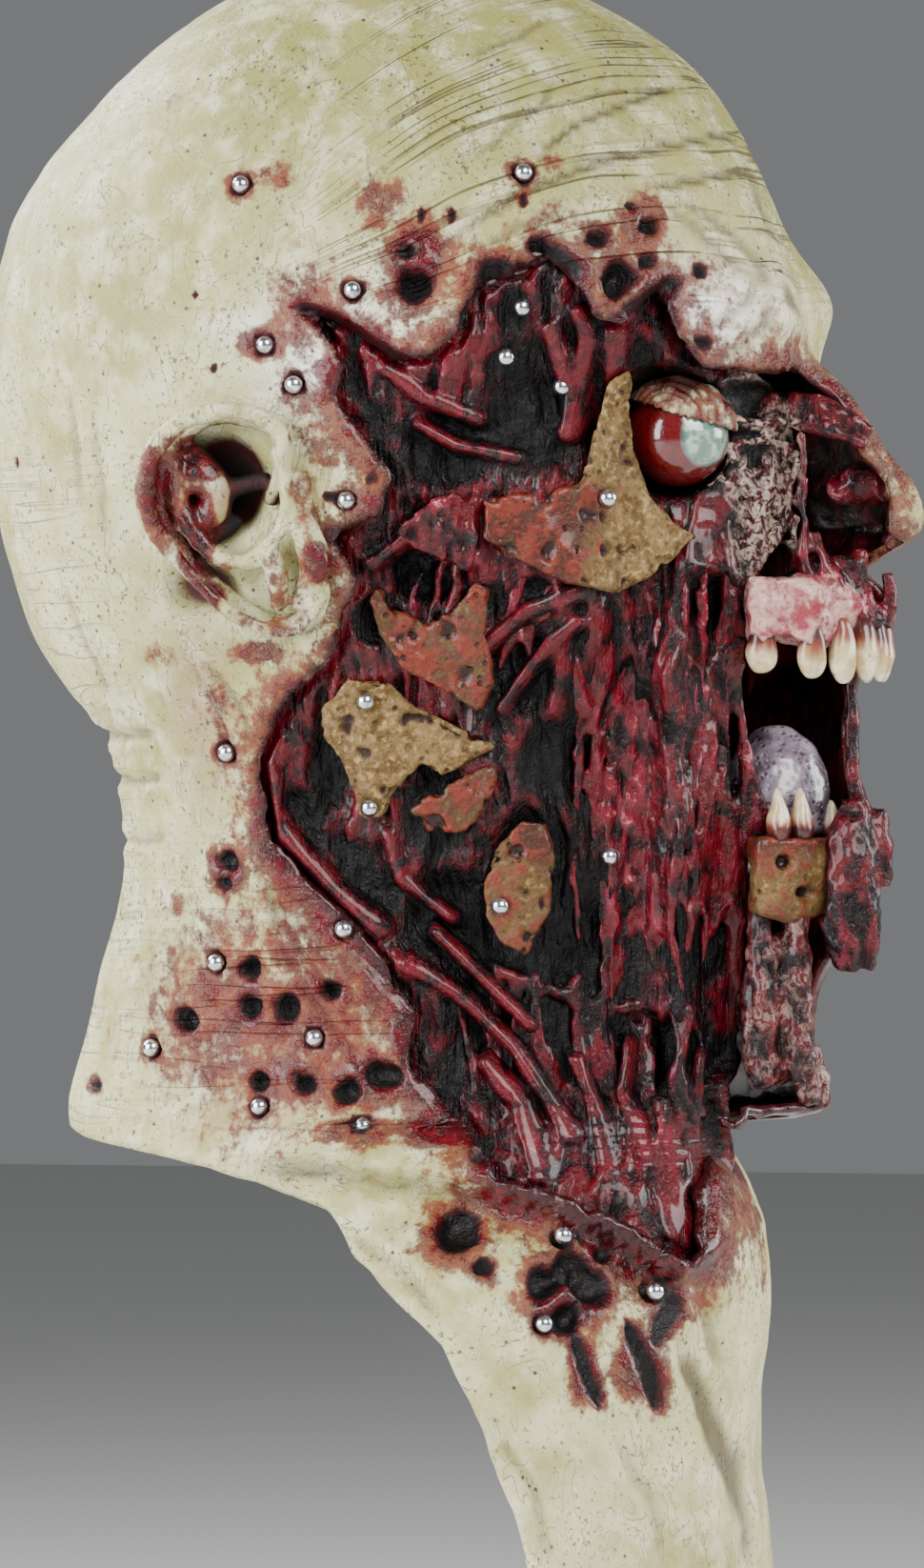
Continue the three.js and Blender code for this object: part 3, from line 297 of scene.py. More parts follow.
def spot_distance(y, z, px, py, wide, tall, depth=0.0):
    """Distance from a spot of the view, in shares of its half width and half height in the view."""
    _, cy, cz = seen([(px, py)], depth=depth)[0]
    return np.hypot((y - cy) / (wide * PIXEL), (z - cz) / (tall * PIXEL))


def bell(y, z, at, size):
    """1 at a place of the side view and fading away from it."""
    return np.exp(-((y - at[0]) / size[0]) ** 2 - ((z - at[1]) / size[1]) ** 2)


# Depth of the flesh bed below the head's side in mm: at its rim, further in, and what the mouth's side adds
RIM_DEPTH, INNER_DEPTH, FRONT_DEPTH = 5.1, 11, 14


def bed_depth(y, z):
    drop = (CROWN - z) / HEIGHT
    forward = smooth(-y / LENGTH, .18, .36)
    upper = 1 - smooth(drop, .93, 1.03)
    full = INNER_DEPTH + FRONT_DEPTH * forward * upper
    inland = smooth(-outline_distance(side(BED_OUTLINE), y, z), 5, 25)
    front = smooth(-y / LENGTH, .33, .4) * upper
    return 3 * smooth(drop, 1, 1.08) + RIM_DEPTH + (full - RIM_DEPTH) * np.maximum(inland, front)


def bed_face(y, z):
    """Where the flesh behind the wound lies, eased over the step at the jaw line."""
    steps = [-9, -6, -3, 0, 3, 6, 9]
    return -sum(np.maximum(side_reach(y, z + d) - bed_depth(y, z + d), MIDLINE_CUT + 2.6) for d in steps) / 7


# Meshes
def mesh_object(name, bm):
    mesh = bpy.data.meshes.new(name)
    bm.to_mesh(mesh)
    bm.free()
    obj = bpy.data.objects.new(name, mesh)
    bpy.context.scene.collection.objects.link(obj)
    return obj


def points_of(mesh):
    co = np.empty(len(mesh.vertices) * 3, np.float32)
    mesh.vertices.foreach_get("co", co)
    return co.reshape(-1, 3).astype(float) / MM


def normals_of(mesh):
    n = np.empty(len(mesh.vertices) * 3, np.float32)
    mesh.vertex_normals.foreach_get("vector", n)
    return n.reshape(-1, 3).astype(float)


def put_points(mesh, p):
    mesh.vertices.foreach_set("co", (p * MM).astype(np.float32).ravel())
    mesh.update()


def paint(mesh, **layers):
    for name, values in layers.items():
        kind = "FLOAT" if np.ndim(values) == 1 else "FLOAT_VECTOR"
        layer = mesh.attributes.get(name) or mesh.attributes.new(name, kind, "POINT")
        slot = "value" if kind == "FLOAT" else "vector"
        layer.data.foreach_set(slot, np.asarray(values, np.float32).ravel())


def applied(obj):
    """Bakes the object's modifiers into its mesh."""
    graph = bpy.context.evaluated_depsgraph_get()
    mesh = bpy.data.meshes.new_from_object(obj.evaluated_get(graph))
    old = obj.data
    obj.modifiers.clear()
    obj.data = mesh
    bpy.data.meshes.remove(old)


def modify(obj, kind, **settings):
    mod = obj.modifiers.new(kind.title(), kind)
    for key, value in settings.items():
        setattr(mod, key, value)


def shade(obj, *materials):
    """Smooth faces and new materials, each face keeping its material's place."""
    index = np.empty(len(obj.data.polygons), np.int32)
    obj.data.polygons.foreach_get("material_index", index)
    obj.data.materials.clear()
    for material in materials:
        obj.data.materials.append(material)
    obj.data.polygons.foreach_set("material_index", np.minimum(index, len(materials) - 1))
    obj.data.polygons.foreach_set("use_smooth", [True] * len(obj.data.polygons))
    obj.data.update()


def finish_piece(obj, slot, nodes, *materials):
    shade(obj, *materials)
    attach(obj, "root")
    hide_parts(*nodes)


def copy_of(name, node):
    """A merged copy of a CAD node, for reshaping."""
    bm = bmesh.new()
    bm.from_mesh(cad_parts[node].data)
    bmesh.ops.remove_doubles(bm, verts=bm.verts, dist=1e-5)
    bmesh.ops.recalc_face_normals(bm, faces=bm.faces)
    return mesh_object(name, bm)


def remeshed(obj, size, rounds):
    """Fuses a piece by voxels of size mm and smooths it."""
    modify(obj, "REMESH", mode="VOXEL", voxel_size=size * MM)
    modify(obj, "SMOOTH", factor=0.6, iterations=rounds)
    applied(obj)


def settle(obj, rise):
    """Moves the vertices along their normals by rise(points), in millimetres."""
    p, n = points_of(obj.data), normals_of(obj.data)
    out = rise(p)
    put_points(obj.data, p + n * out[:, None])
    return p, out


# The rim of a cut sheet: how many steps from the outline it may lie, and the mm over which a slope is taken
RIM_REACH, SLOPE_STEP = 2.2, .3


def cut_sheet(obj, distance, step):
    """Deletes the faces of a sheet where distance(points) is negative and draws the new edge along zero."""
    bm = bmesh.new()
    bm.from_mesh(obj.data)
    bm.verts.ensure_lookup_table()
    p = np.array([v.co for v in bm.verts]) / MM
    d = distance(p)
    bmesh.ops.delete(bm, geom=[f for f in bm.faces if sum(d[v.index] for v in f.verts) < 0], context="FACES")
    loose = [v for v in bm.verts if not v.link_faces]
    bmesh.ops.delete(bm, geom=loose, context="VERTS")
    mesh = obj.data
    bm.to_mesh(mesh)
    bm.free()
    p = points_of(mesh)
    edges = np.empty(len(mesh.edges) * 2, np.int32)
    mesh.edges.foreach_get("vertices", edges)
    edges = edges.reshape(-1, 2)
    loops = np.empty(len(mesh.loops), np.int32)
    mesh.loops.foreach_get("edge_index", loops)
    uses = np.bincount(loops, minlength=len(edges))
    rim = np.unique(edges[uses == 1])
    rim = rim[np.abs(distance(p[rim])) < RIM_REACH * step]
    normal = normals_of(mesh)[rim]
    for _ in range(3):
        q = p[rim]
        here = distance(q)
        slope = np.stack([(distance(q + e) - here) / SLOPE_STEP for e in np.eye(3) * SLOPE_STEP], 1)
        slope -= normal * (slope * normal).sum(1)[:, None]
        size = np.maximum((slope**2).sum(1), .2)
        move = -(here / size)[:, None] * slope
        length = np.maximum(np.linalg.norm(move, axis=1), 1e-9)
        p[rim] = q + move * np.minimum(1, step / length)[:, None]
    put_points(mesh, p)


def ellipsoid_distance(p, centre, radii):
    q = (p - np.asarray(centre)) / np.asarray(radii)
    k = np.linalg.norm(q, axis=1)
    g = np.maximum(np.linalg.norm(q / np.asarray(radii), axis=1), 1e-6)
    return k * (k - 1) / g


def grid_sheet(name, columns, rows, place):
    """A grid whose vertices are put where place(u, v) says, with u and v from 0 to 1."""
    bm = bmesh.new()
    bmesh.ops.create_grid(bm, x_segments=columns, y_segments=rows, size=0.5)
    obj = mesh_object(name, bm)
    co = points_of(obj.data) * MM
    put_points(obj.data, place(co[:, 0] + .5, co[:, 1] + .5))
    return obj


def merged(obj):
    """Closes a sheet's seams and pole."""
    bm = bmesh.new()
    bm.from_mesh(obj.data)
    bmesh.ops.remove_doubles(bm, verts=bm.verts, dist=2e-6)
    bmesh.ops.dissolve_degenerate(bm, edges=bm.edges, dist=1e-7)
    bmesh.ops.recalc_face_normals(bm, faces=bm.faces)
    bm.to_mesh(obj.data)
    bm.free()


def face_out(obj, direction):
    """Turns an open sheet's faces so that on the whole they look along direction."""
    n = normals_of(obj.data)
    if (n @ np.asarray(direction, float)).sum() < 0:
        obj.data.flip_normals()


def thickened(obj, wall, keep):
    """Gives a sheet a wall and keeps only that share of the faces on the wall's far side."""
    obj.vertex_groups.new(name="far")
    obj.data.materials.append(None)
    obj.data.materials.append(None)
    modify(obj, "SOLIDIFY", thickness=wall * MM, offset=-1.0, use_even_offset=False,
           shell_vertex_group="far", material_offset=1, material_offset_rim=0)
    modify(obj, "DECIMATE", ratio=.5 + keep / 2, vertex_group="far", vertex_group_factor=1000)
    applied(obj)
    obj.vertex_groups.clear()


# Materials
class Value:
    """A socket of a material, which can be added, multiplied and compared like a number."""

    def __init__(self, graph, socket):
        self.graph, self.socket = graph, socket

    def _math(self, kind, *others):
        return self.graph.node("Math", {"operation": kind}, dict(enumerate(others)))

    def __add__(self, other):
        return self._math("ADD", self, other)

    __radd__ = __add__

    def __sub__(self, other):
        return self._math("SUBTRACT", self, other)

    def __rsub__(self, other):
        return self._math("SUBTRACT", other, self)

    def __mul__(self, other):
        return self._math("MULTIPLY", self, other)

    __rmul__ = __mul__

    def max(self, other):
        return self._math("MAXIMUM", self, other)

    def min(self, other):
        return self._math("MINIMUM", self, other)

    def abs(self):
        return self._math("ABSOLUTE", self)

    def ease(self, low, high, start=0.0, end=1.0):
        """From start to end, smoothly, as the value goes from low to high."""
        ends = {"From Min": low, "From Max": high, "To Min": start, "To Max": end}
        return self.graph.node("MapRange", {"interpolation_type": "SMOOTHSTEP"}, {"Value": self, **ends})


class Graph:
    """A material under construction."""

    def __init__(self, name):
        self.material = bpy.data.materials.new(name)
        self.material.use_nodes = True
        self.tree = self.material.node_tree
        self.tree.nodes.clear()
        self.place = self.node("TexCoord", output="Object")

    def node(self, kind, settings=None, sockets=None, output=0):
        made = self.tree.nodes.new("ShaderNode" + kind)
        for key, value in (settings or {}).items():
            setattr(made, key, value)
        for key, value in (sockets or {}).items():
            if isinstance(value, Value):
                self.tree.links.new(value.socket, made.inputs[key])
            else:
                made.inputs[key].default_value = value
        return Value(self, made.outputs[output]) if made.outputs else None

    def attribute(self, name, output="Fac"):
        return self.node("Attribute", {"attribute_name": name}, output=output)

    def attributes(self, *names):
        return [self.attribute(name) for name in names]

    def scaled(self, x, y, z, place=None):
        return self.node("Mapping", {}, {"Vector": place or self.place, "Scale": (x, y, z)})

    def noise(self, scale, detail=3.0, rough=0.55, warp=0.0, place=None):
        """Noise with features of about 1 / scale metres."""
        return self.node("TexNoise", {}, {"Vector": place or self.place, "Scale": scale, "Detail": detail,
                                          "Roughness": rough, "Distortion": warp})

    def cells(self, scale):
        """Distance to the nearest of points strewn about 1 / scale metres apart."""
        return self.node("TexVoronoi", {}, {"Vector": self.place, "Scale": scale}, output="Distance")

    def mix(self, share, a, b):
        """From a to b, each a socket, a property's colour or a code such as 0xC9C49A."""
        def color(c):
            if isinstance(c, Value):
                return c
            return (*(rgb(c) if isinstance(c, int) else c), 1)
        return self.node("Mix", {"data_type": "RGBA", "clamp_factor": True},
                         {0: share, 6: color(a), 7: color(b)}, output=2)

    def bump(self, height, depth, strength=1.0):
        return self.node("Bump", {}, {"Height": height, "Distance": depth * MM, "Strength": strength})

    def layers(self, color, *coats):
        """A colour under coats, each of them a mask and its own colour."""
        for share, coat in coats:
            color = self.mix(share, color, coat)
        return color

    def done(self, color, roughness, normal=None, coat=0.0, coat_roughness=.03, specular=.5, metallic=0.0):
        sockets = {"Base Color": color, "Roughness": roughness, "Coat Weight": coat,
                   "Coat Roughness": coat_roughness, "Specular IOR Level": specular, "Metallic": metallic}
        if normal:
            sockets["Normal"] = normal
        self.node("OutputMaterial", {}, {"Surface": self.node("BsdfPrincipled", {}, sockets)})
        return self.material


def rgb(code):
    """A colour as painted, such as 0xC9C49A, in linear light."""
    parts = [((code >> shift) & 255) / 255 for shift in (16, 8, 0)]
    return tuple(c / 12.92 if c <= .04045 else ((c + .055) / 1.055) ** 2.4 for c in parts)


@functools.cache
def painted_latex():
    """Pale olive latex with thin brown lines along its wrinkles, fine specks, blood round the wounds, painted
    shade in its creases, hollows and on top of the head, painted highlights by the ear and brow.
    """
    look = bpy.context.scene.mask_paint
    g = Graph("painted latex")
    blood, cave, pale, edge, crease, lined = g.attributes("blood", "cave", "pale", "edge", "crease", "lined")
    olive, tan = g.attributes("olive", "tan")
    grain, mottle = g.noise(34, 3, .6), g.noise(95, 3, .62)
    patch, fine = g.noise(260, 3, .7), g.noise(640, 3, .7)
    # wrinkles and hairlines run along the lines that the flow attribute gives
    long = g.scaled(1, .06, 1, place=g.attribute("flow", "Vector"))
    lines, thin = g.noise(120, 2, .6, .12, place=long), g.noise(330, 1, .55, .1, place=long)
    wrinkle = (lines - .5).abs().ease(0, .022, 1, 0) * lined * grain.ease(.36, .56)
    hair = (thin - .5).abs().ease(0, .05, 1, 0) * lined * mottle.ease(.42, .6)
    veins = g.noise(75, 3, .66, .5, place=g.scaled(1, 1, .6))
    crack = ((veins - .5).abs().ease(0, .009, 1, 0) + (veins - .6).abs().ease(0, .007, .7, 0)).min(1)
    crack = crack * mottle.ease(.4, .6, .25, 1)
    specks = (fine + (grain - .5) * .35).ease(.61, .67)
    dots = g.cells(210).ease(.07, .16, 1, 0) * veins.ease(.42, .55)
    # thin washes of blood run brown, thick ones wine red
    wash = (blood + (patch - .5) * 1.3).ease(.12, .5) * blood.ease(.02, .14)
    thick = (blood + (patch - .5) * 1.2).ease(.52, .82)
    # Coats: the olive mask's darkening of the head's top is painted shade, the pale mask's is a painted
    # highlight, the crease and hollow masks' are painted shade.
    skin = g.layers(
        g.mix(grain.ease(.32, .7), tuple(look.skin_shadow), tuple(look.skin)),
        (g.noise(17, 2, .6).ease(.34, .74) * .55, 0x86853F), (olive * grain.ease(.3, .6, .5, .9), 0x7E7D3C),
        (tan * mottle.ease(.35, .6, .45, 1), 0x7A4E2A), (mottle.ease(.4, .76) * .55, 0xE6E2C6),
        (pale * mottle.ease(.3, .6, .5, 1), 0xF0EEE6), (wrinkle * .8, 0x453518), (hair * .5, 0x6B5A30),
        (crack * .55, 0x5C4C28), (specks * .8, 0x4A3E20), (dots * .9, 0x2A1E10), (crease, 0x33240F),
        (wash * .9, g.mix(mottle.ease(.4, .6), 0x6A2214, 0x4C080D)),
        (thick, g.mix(patch.ease(.35, .65), 0x180105, 0x5A0610)),
        (cave.ease(.1, .5), 0x3A0408), (cave.ease(.45, .95), 0x050102),
        (edge.ease(.25, .9) * patch.ease(.3, .6, .5, 1), 0x30040A))
    height = fine * .55 + mottle * .5 - wrinkle * 1.2 - crack * .4 - crease * .7 + patch * thick * .9
    wet = thick.max(edge.ease(.3, .9))
    return g.done(skin, (.52 + (grain - .5) * .25 - wet * .32 + cave * .3).max(.15),
                  g.bump(height, .9, .8), wet * .35 - cave, .1, .3)


@functools.cache
def inner_latex():
    """The mask's inside: dark brown painted shade, turning to dried blood and raw flesh towards the face."""
    g = Graph("inside of the latex")
    raw, stain = g.attribute("raw"), g.noise(60, 4, .6)
    fibre = g.noise(240, 4, .62, .5, place=g.scaled(1, 1, .4))
    # painted shade: the plain inside dark brown, two tones mixed by a stain
    plain = g.mix(stain.ease(.35, .65), 0x1C0E0C, 0x33221C)
    flesh = g.layers(g.mix(fibre.ease(.42, .66), 0x100205, 0x4A0A14), (fibre.ease(.6, .8) * .7, 0x8C3440))
    color = g.mix((raw + (stain - .5) * .5).ease(.3, .7), plain, flesh)
    return g.done(color, .75 - raw * .45 + stain * .1,
                  g.bump(fibre + g.noise(400, 3) * .4, .8, .8), raw * .4, .15)


@functools.cache
def wet_flesh():
    """Wine-red wet flesh, with painted shade nearly black in its hollows and painted light, red to pink
    highlights, on its ridges.
    """
    look = bpy.context.scene.mask_paint
    g = Graph("wet flesh")
    cave, lift, tint = g.attributes("cave", "lift", "tint")
    fibre = g.noise(300, 3, .64, .6, place=g.scaled(1, 1, .16))
    clots, web = g.noise(130, 3, .66, .4), g.noise(380, 3, .72, .9)
    # flesh_shadow to flesh by the clots and by the painted light of the ridges; the red and pink ridge coats
    # are painted light and highlights, the near-black coat painted shade
    color = g.layers(
        g.mix((clots + (lift - .5) * .25).ease(.4, .64), tuple(look.flesh_shadow), tuple(look.flesh)),
        (fibre.ease(.52, .72) * .65, 0x680620),
        ((lift + (fibre - .5) * .9).ease(.75, 1.2) * .8, 0x7C0C2A),
        ((lift + (web - .5) * 1.6).ease(1.05, 1.35) * .75, 0xC47A7A),
        ((tint + (clots - .5) * .8).ease(.25, .85), g.mix(web.ease(.44, .6), 0x2C080E, 0xC4B2A2)),
        (cave.ease(.08, .6), 0x020001))
    return g.done(color, (.2 + clots * .2 + cave * .2).max(.12),
                  g.bump(fibre * 1.2 + clots * .8 + web * .9, 1.2, .9), (lift * .5 - cave).max(0), .07, .22)


@functools.cache
def old_bone():
    """Ochre porous bone, stained red in its pores and towards the flesh, with painted shade in its pits."""
    look = bpy.context.scene.mask_paint
    g = Graph("old bone")
    stain, cave = g.attributes("stain", "cave")
    rough, sand = g.noise(170, 3, .68), g.noise(480, 3, .65)
    red = (stain + (rough - .5) * 1.6 + (sand - .5) * 1.2).ease(.35, .8)
    pores = g.cells(300).ease(.08, .3, 1, 0) * g.noise(80, 2).ease(.45, .6)
    color = g.layers(
        g.mix(rough.ease(.38, .62), 0x5A4220, tuple(look.bone)),
        (sand.ease(.5, .68) * .7, 0xA68E5E), (sand.ease(.34, .46, 1, 0) * .6, 0x3A2410),
        (red * .92, g.mix(rough.ease(.4, .6), 0x300507, 0x681A10)),
        (pores * .8, 0x2A0E08), (cave.ease(.2, .9), 0x1C0406))
    return g.done(color, (.55 - red * .2 + rough * .15).max(.2),
                  g.bump(rough * 1.4 + sand * .7 - pores * 1.2, 1.0, .9), red * .25, .12, .25)


@functools.cache
def sore_gum():
    """Swollen gum, dull pink and white, with streaks of blood, and painted shade in its folds between the
    teeth.
    """
    g = Graph("sore gum")
    stain, cave = g.attributes("stain", "cave")
    mottle, web = g.noise(150, 3, .65), g.noise(420, 3, .68)
    color = g.layers(
        g.mix(mottle.ease(.38, .6), 0x84303A, 0xBC948A),
        ((web + (mottle - .5) * .8 + (stain - .9) * .3).ease(.5, .7) * .85, 0x5A0812),
        (cave.ease(.1, .8), 0x2A0408))
    return g.done(color, .36 + web * .1, g.bump(mottle + web * .5, .9, .8), .3, .1, .35)


@functools.cache
def stained_tooth():
    """Off-white tooth with brown-red stains from its root down."""
    look = bpy.context.scene.mask_paint
    g = Graph("stained tooth")
    root, blotch = g.attribute("root"), g.noise(160, 4, .6, .3)
    streak = g.noise(240, 3, .6, .2, place=g.scaled(1, 1, .22))
    color = g.layers(
        g.mix(blotch.ease(.35, .68), 0xB59C6E, tuple(look.tooth)),
        ((root + (streak - .5) * .9).ease(.3, .9) * .9, 0x7A2418),
        ((root + (blotch - .5) * .8).ease(.75, 1.15), 0x3A0A0C),
        (g.cells(260).ease(.1, .25, 1, 0) * blotch.ease(.5, .6) * .7, 0x4A2A14))
    return g.done(color, .2 + root * .15, g.bump(streak * .6 + blotch, .5, .6), .5, .08)


@functools.cache
def clouded_eye():
    """Blood-red eyeball with dark veins and a clouded grey-green iris; the whites' dark red is partly the
    eye's colour, partly painted shade of the socket.
    """
    look = bpy.context.scene.mask_paint
    g = Graph("clouded eye")
    iris, vein, blush = g.attribute("iris"), g.noise(300, 3, .6, .9), g.noise(110, 4, .6)
    # the whites, paler round the iris: their dark red is partly the eye's colour and partly painted shade of
    # the socket
    white = g.layers(
        g.mix((iris * -1 + 1.0 + (blush - .5) * .5).ease(0, .55), 0x9A6A60, 0x5E0A0E),
        ((vein - .5).abs().ease(0, .05, 1, 0) * .7, 0x3A0408))
    cloudy = g.layers(
        g.mix(g.noise(260, 3, .6, .5).ease(.4, .6), tuple(look.iris), 0x9DB2A6),
        (iris.ease(.4, .54, 1, 0) * .8, 0x33463E), ((iris + (blush - .5) * .08).ease(.84, .9) * .4, 0x6A8078))
    color = g.mix(iris.ease(.36, .42), white, cloudy)
    return g.done(color, .12 + blush * .08, g.bump(vein, .25, .5), 1.0, .03)


@functools.cache
def grey_tongue():
    """Grey-violet tongue covered with small warts."""
    g = Graph("grey tongue")
    spots, patch = g.cells(520), g.noise(90, 4, .6)
    color = g.layers(
        g.mix(patch.ease(.35, .65), 0x3A2A38, 0x8A7E8C), (g.noise(45, 2).ease(.48, .62) * .6, 0xB9B4BE),
        (spots.ease(.15, .4, 1, 0) * .5, 0x2A1626))
    return g.done(color, .3, g.bump(spots.ease(0, .5) + patch * .5, .7, .9), .8, .1)


@functools.cache
def bright_steel():
    g = Graph("bright steel")
    dull = g.noise(500, 3, .6)
    color = g.mix(dull.ease(.4, .7), 0xE4E7EC, 0xA9ADB4)
    return g.done(color, .14 + dull * .12, g.bump(dull, .05, .3), metallic=1.0)


# What the photograph shows on the skin
# Pits: place in the view, radius and depth in mm
PITS = [
    (443, 224, 1.6, 2), (474, 225, 1.6, 2), (426, 262, 3.2, 4), (436, 299, 5.6, 6), (518, 288, 5, 6),
    (564, 259, 3, 3.5), (547, 283, 2.4, 3), (549, 210, 1.8, 2), (627, 250, 2.8, 3.5), (649, 292, 5, 6),
    (662, 217, 1.8, 2.5), (680, 237, 3, 4), (677, 275, 2.4, 3), (736, 285, 1.8, 2), (738, 358, 2, 2.5),
    (602, 284, 3, 3.5), (400, 420, 3.4, 3.5), (398, 425, 2, 2), (195, 1072, 4.6, 4.5), (262, 1017, 3.4, 4),
    (262, 1057, 4, 4), (302, 1057, 4.2, 4.5), (348, 1040, 3, 3.5), (404, 1128, 5, 4.5), (365, 1146, 4, 4),
    (320, 1136, 3.6, 4), (272, 1136, 3, 3.5), (238, 905, 4, 3.5), (235, 927, 3, 3), (480, 1292, 6.5, 5),
    (505, 1220, 2.4, 3), (572, 1345, 5.5, 5), (600, 1330, 6, 5.5), (618, 1352, 6, 5.5), (598, 1380, 5, 5),
    (636, 1314, 3, 2.5), (505, 1330, 3, 2.5), (204, 310, 1, 1), (18, 483, 1.2, 1.2), (222, 385, 1, 1),
    (345, 520, 1.4, 1.5), (372, 560, 1.5, 1.5), (390, 500, 1.6, 1.6), (103, 1140, 2.2, 1.2),
]
# Gashes: points in the view, half width, depth
GASHES = [
    ([(312, 322), (345, 333), (385, 360), (425, 386), (450, 395)], 2.2, 3.5),
    ([(562, 258), (585, 268), (578, 300), (590, 330)], 2.4, 4),
    ([(655, 330), (690, 312), (712, 292)], 2.4, 3),
    ([(660, 1390), (676, 1430), (690, 1478)], 1.6, 2),
    ([(600, 1395), (615, 1440), (630, 1475)], 1.4, 1.6),
    ([(700, 1345), (704, 1375), (690, 1410)], 1.8, 2),
]
# Creases: points in the view, half width, depth, and the darkness of the painted shade along them
CREASES = [
    ([(462, 265), (503, 229), (562, 196), (639, 169), (698, 153), (775, 146), (800, 150)], .8, .7, .8),
    ([(505, 262), (540, 240), (600, 222)], .7, .6, .6),
    ([(480, 170), (520, 150), (565, 110), (590, 82)], .7, .5, .5),
    ([(560, 165), (600, 135), (662, 107), (738, 92)], .8, .6, .8),
    ([(680, 200), (735, 189), (795, 183)], .8, .6, .8),
    ([(485, 62), (545, 38), (580, 18)], .6, .4, .5),
    ([(688, 205), (725, 235), (770, 275), (815, 300)], .7, .5, .5),
    ([(700, 200), (750, 230), (800, 275), (835, 320)], .7, .5, .5),
    ([(720, 355), (760, 340), (790, 318), (806, 290)], .9, .7, .6),
    ([(730, 375), (775, 368), (812, 345), (835, 318)], .9, .8, .7),
    ([(800, 150), (822, 230), (845, 300), (862, 350)], 1.0, 1.4, .7),
    ([(788, 160), (806, 215), (826, 262)], .7, .6, .6),
    ([(100, 768), (130, 775), (165, 768)], 1.2, 1.4, .5),
    ([(112, 812), (140, 822), (175, 815)], 1.0, 1.1, .5),
    ([(118, 880), (150, 885), (175, 878)], .9, .8, .4),
    ([(210, 690), (250, 740), (272, 800)], 1.0, 1.0, .5),
    ([(190, 680), (225, 740), (245, 800)], .8, .7, .4),
    ([(285, 905), (335, 960), (385, 1010), (430, 1050)], 1.3, 1.3, .6),
    ([(310, 900), (360, 945), (410, 985)], 1.2, 1.2, .6),
    ([(262, 900), (305, 985), (360, 1060)], 1.0, .9, .5),
    ([(710, 1400), (735, 1460), (765, 1530), (792, 1600), (800, 1646)], 1.6, 1.8, .8),
    ([(735, 1340), (745, 1400), (760, 1440)], 1.0, 1.0, .5),
    ([(360, 1290), (420, 1330), (470, 1390)], 1.2, 1.2, .4),
    ([(520, 1500), (560, 1560), (580, 1646)], 1.0, .9, .3),
    ([(640, 1500), (680, 1570), (700, 1646)], 1.0, .9, .3),
    ([(70, 400), (80, 470), (85, 540)], .8, .6, .4),
    ([(95, 430), (104, 500), (112, 570)], .8, .6, .4),
    ([(60, 600), (90, 680), (120, 740)], .9, .7, .4),
]
# The first and last of the folds that fan out over the neck
NECK_FAN = ([(276, 905), (292, 985), (345, 1075), (400, 1135)],
            [(300, 893), (370, 930), (425, 975), (455, 1030)])
# Half width in mm below which the skin's mesh would break a crease into dashes
THINNEST_CREASE = 1.1
# How far the skin's dents go in, in mm, since the wall behind them follows
DEEPEST_DENT = 7.5
COLLAR_EDGE = [(250, 1225), (300, 1222), (345, 1226), (400, 1236), (450, 1243), (505, 1252), (560, 1266),
               (610, 1284), (650, 1303), (690, 1330), (716, 1352)]
# Blood: place, half width and half height in the view, strength
BLOOD = [
    (438, 272, 40, 48, .9), (400, 212, 32, 34, .55), (290, 186, 24, 18, .5), (278, 360, 34, 22, .75),
    (309, 404, 20, 18, .6), (520, 290, 34, 30, .8), (672, 236, 26, 42, .7), (648, 292, 30, 30, .75),
    (740, 286, 22, 18, .45), (602, 285, 26, 30, .8), (640, 250, 26, 26, .4), (580, 170, 16, 10, .4),
    (400, 428, 40, 30, .7), (350, 340, 50, 16, .6), (430, 380, 40, 26, .8), (240, 912, 26, 26, 1.0),
    (300, 990, 36, 30, .45), (262, 1055, 30, 40, .75), (330, 1050, 60, 40, .65), (390, 1130, 60, 40, .8),
    (300, 1130, 70, 30, .7), (195, 1075, 28, 22, .8), (220, 1120, 40, 26, .5), (190, 950, 18, 16, .45),
    (380, 1190, 60, 22, .6), (360, 955, 26, 30, .6), (400, 1020, 40, 60, .7), (270, 685, 36, 14, .65),
    (170, 690, 24, 18, .3), (230, 745, 20, 40, .35), (102, 1140, 16, 10, .5), (480, 1290, 34, 30, 1.0),
    (500, 1330, 24, 14, .6), (598, 1356, 50, 46, 1.15), (636, 1314, 20, 16, .9), (612, 1440, 16, 44, .8),
    (670, 1430, 26, 50, .8), (700, 1360, 24, 34, .8), (690, 1460, 14, 30, .6), (380, 1215, 14, 8, .4),
    (345, 470, 34, 26, .5), (330, 430, 22, 20, .45), (182, 110, 14, 16, .25), (560, 1215, 60, 22, .8),
    (470, 1185, 60, 30, .9), (735, 1345, 16, 50, .5), (750, 300, 14, 14, .3), (840, 360, 20, 14, .2),
    (250, 1185, 60, 14, .35), (370, 570, 30, 40, .5), (715, 1300, 16, 60, .5),
]


def pellet_places():
    boxes = [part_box(f"pellet_{k}") for k in range(1, SHOT_COUNT + 1)]
    return np.array([np.array((low + high) / 2) / MM for low, high in boxes])


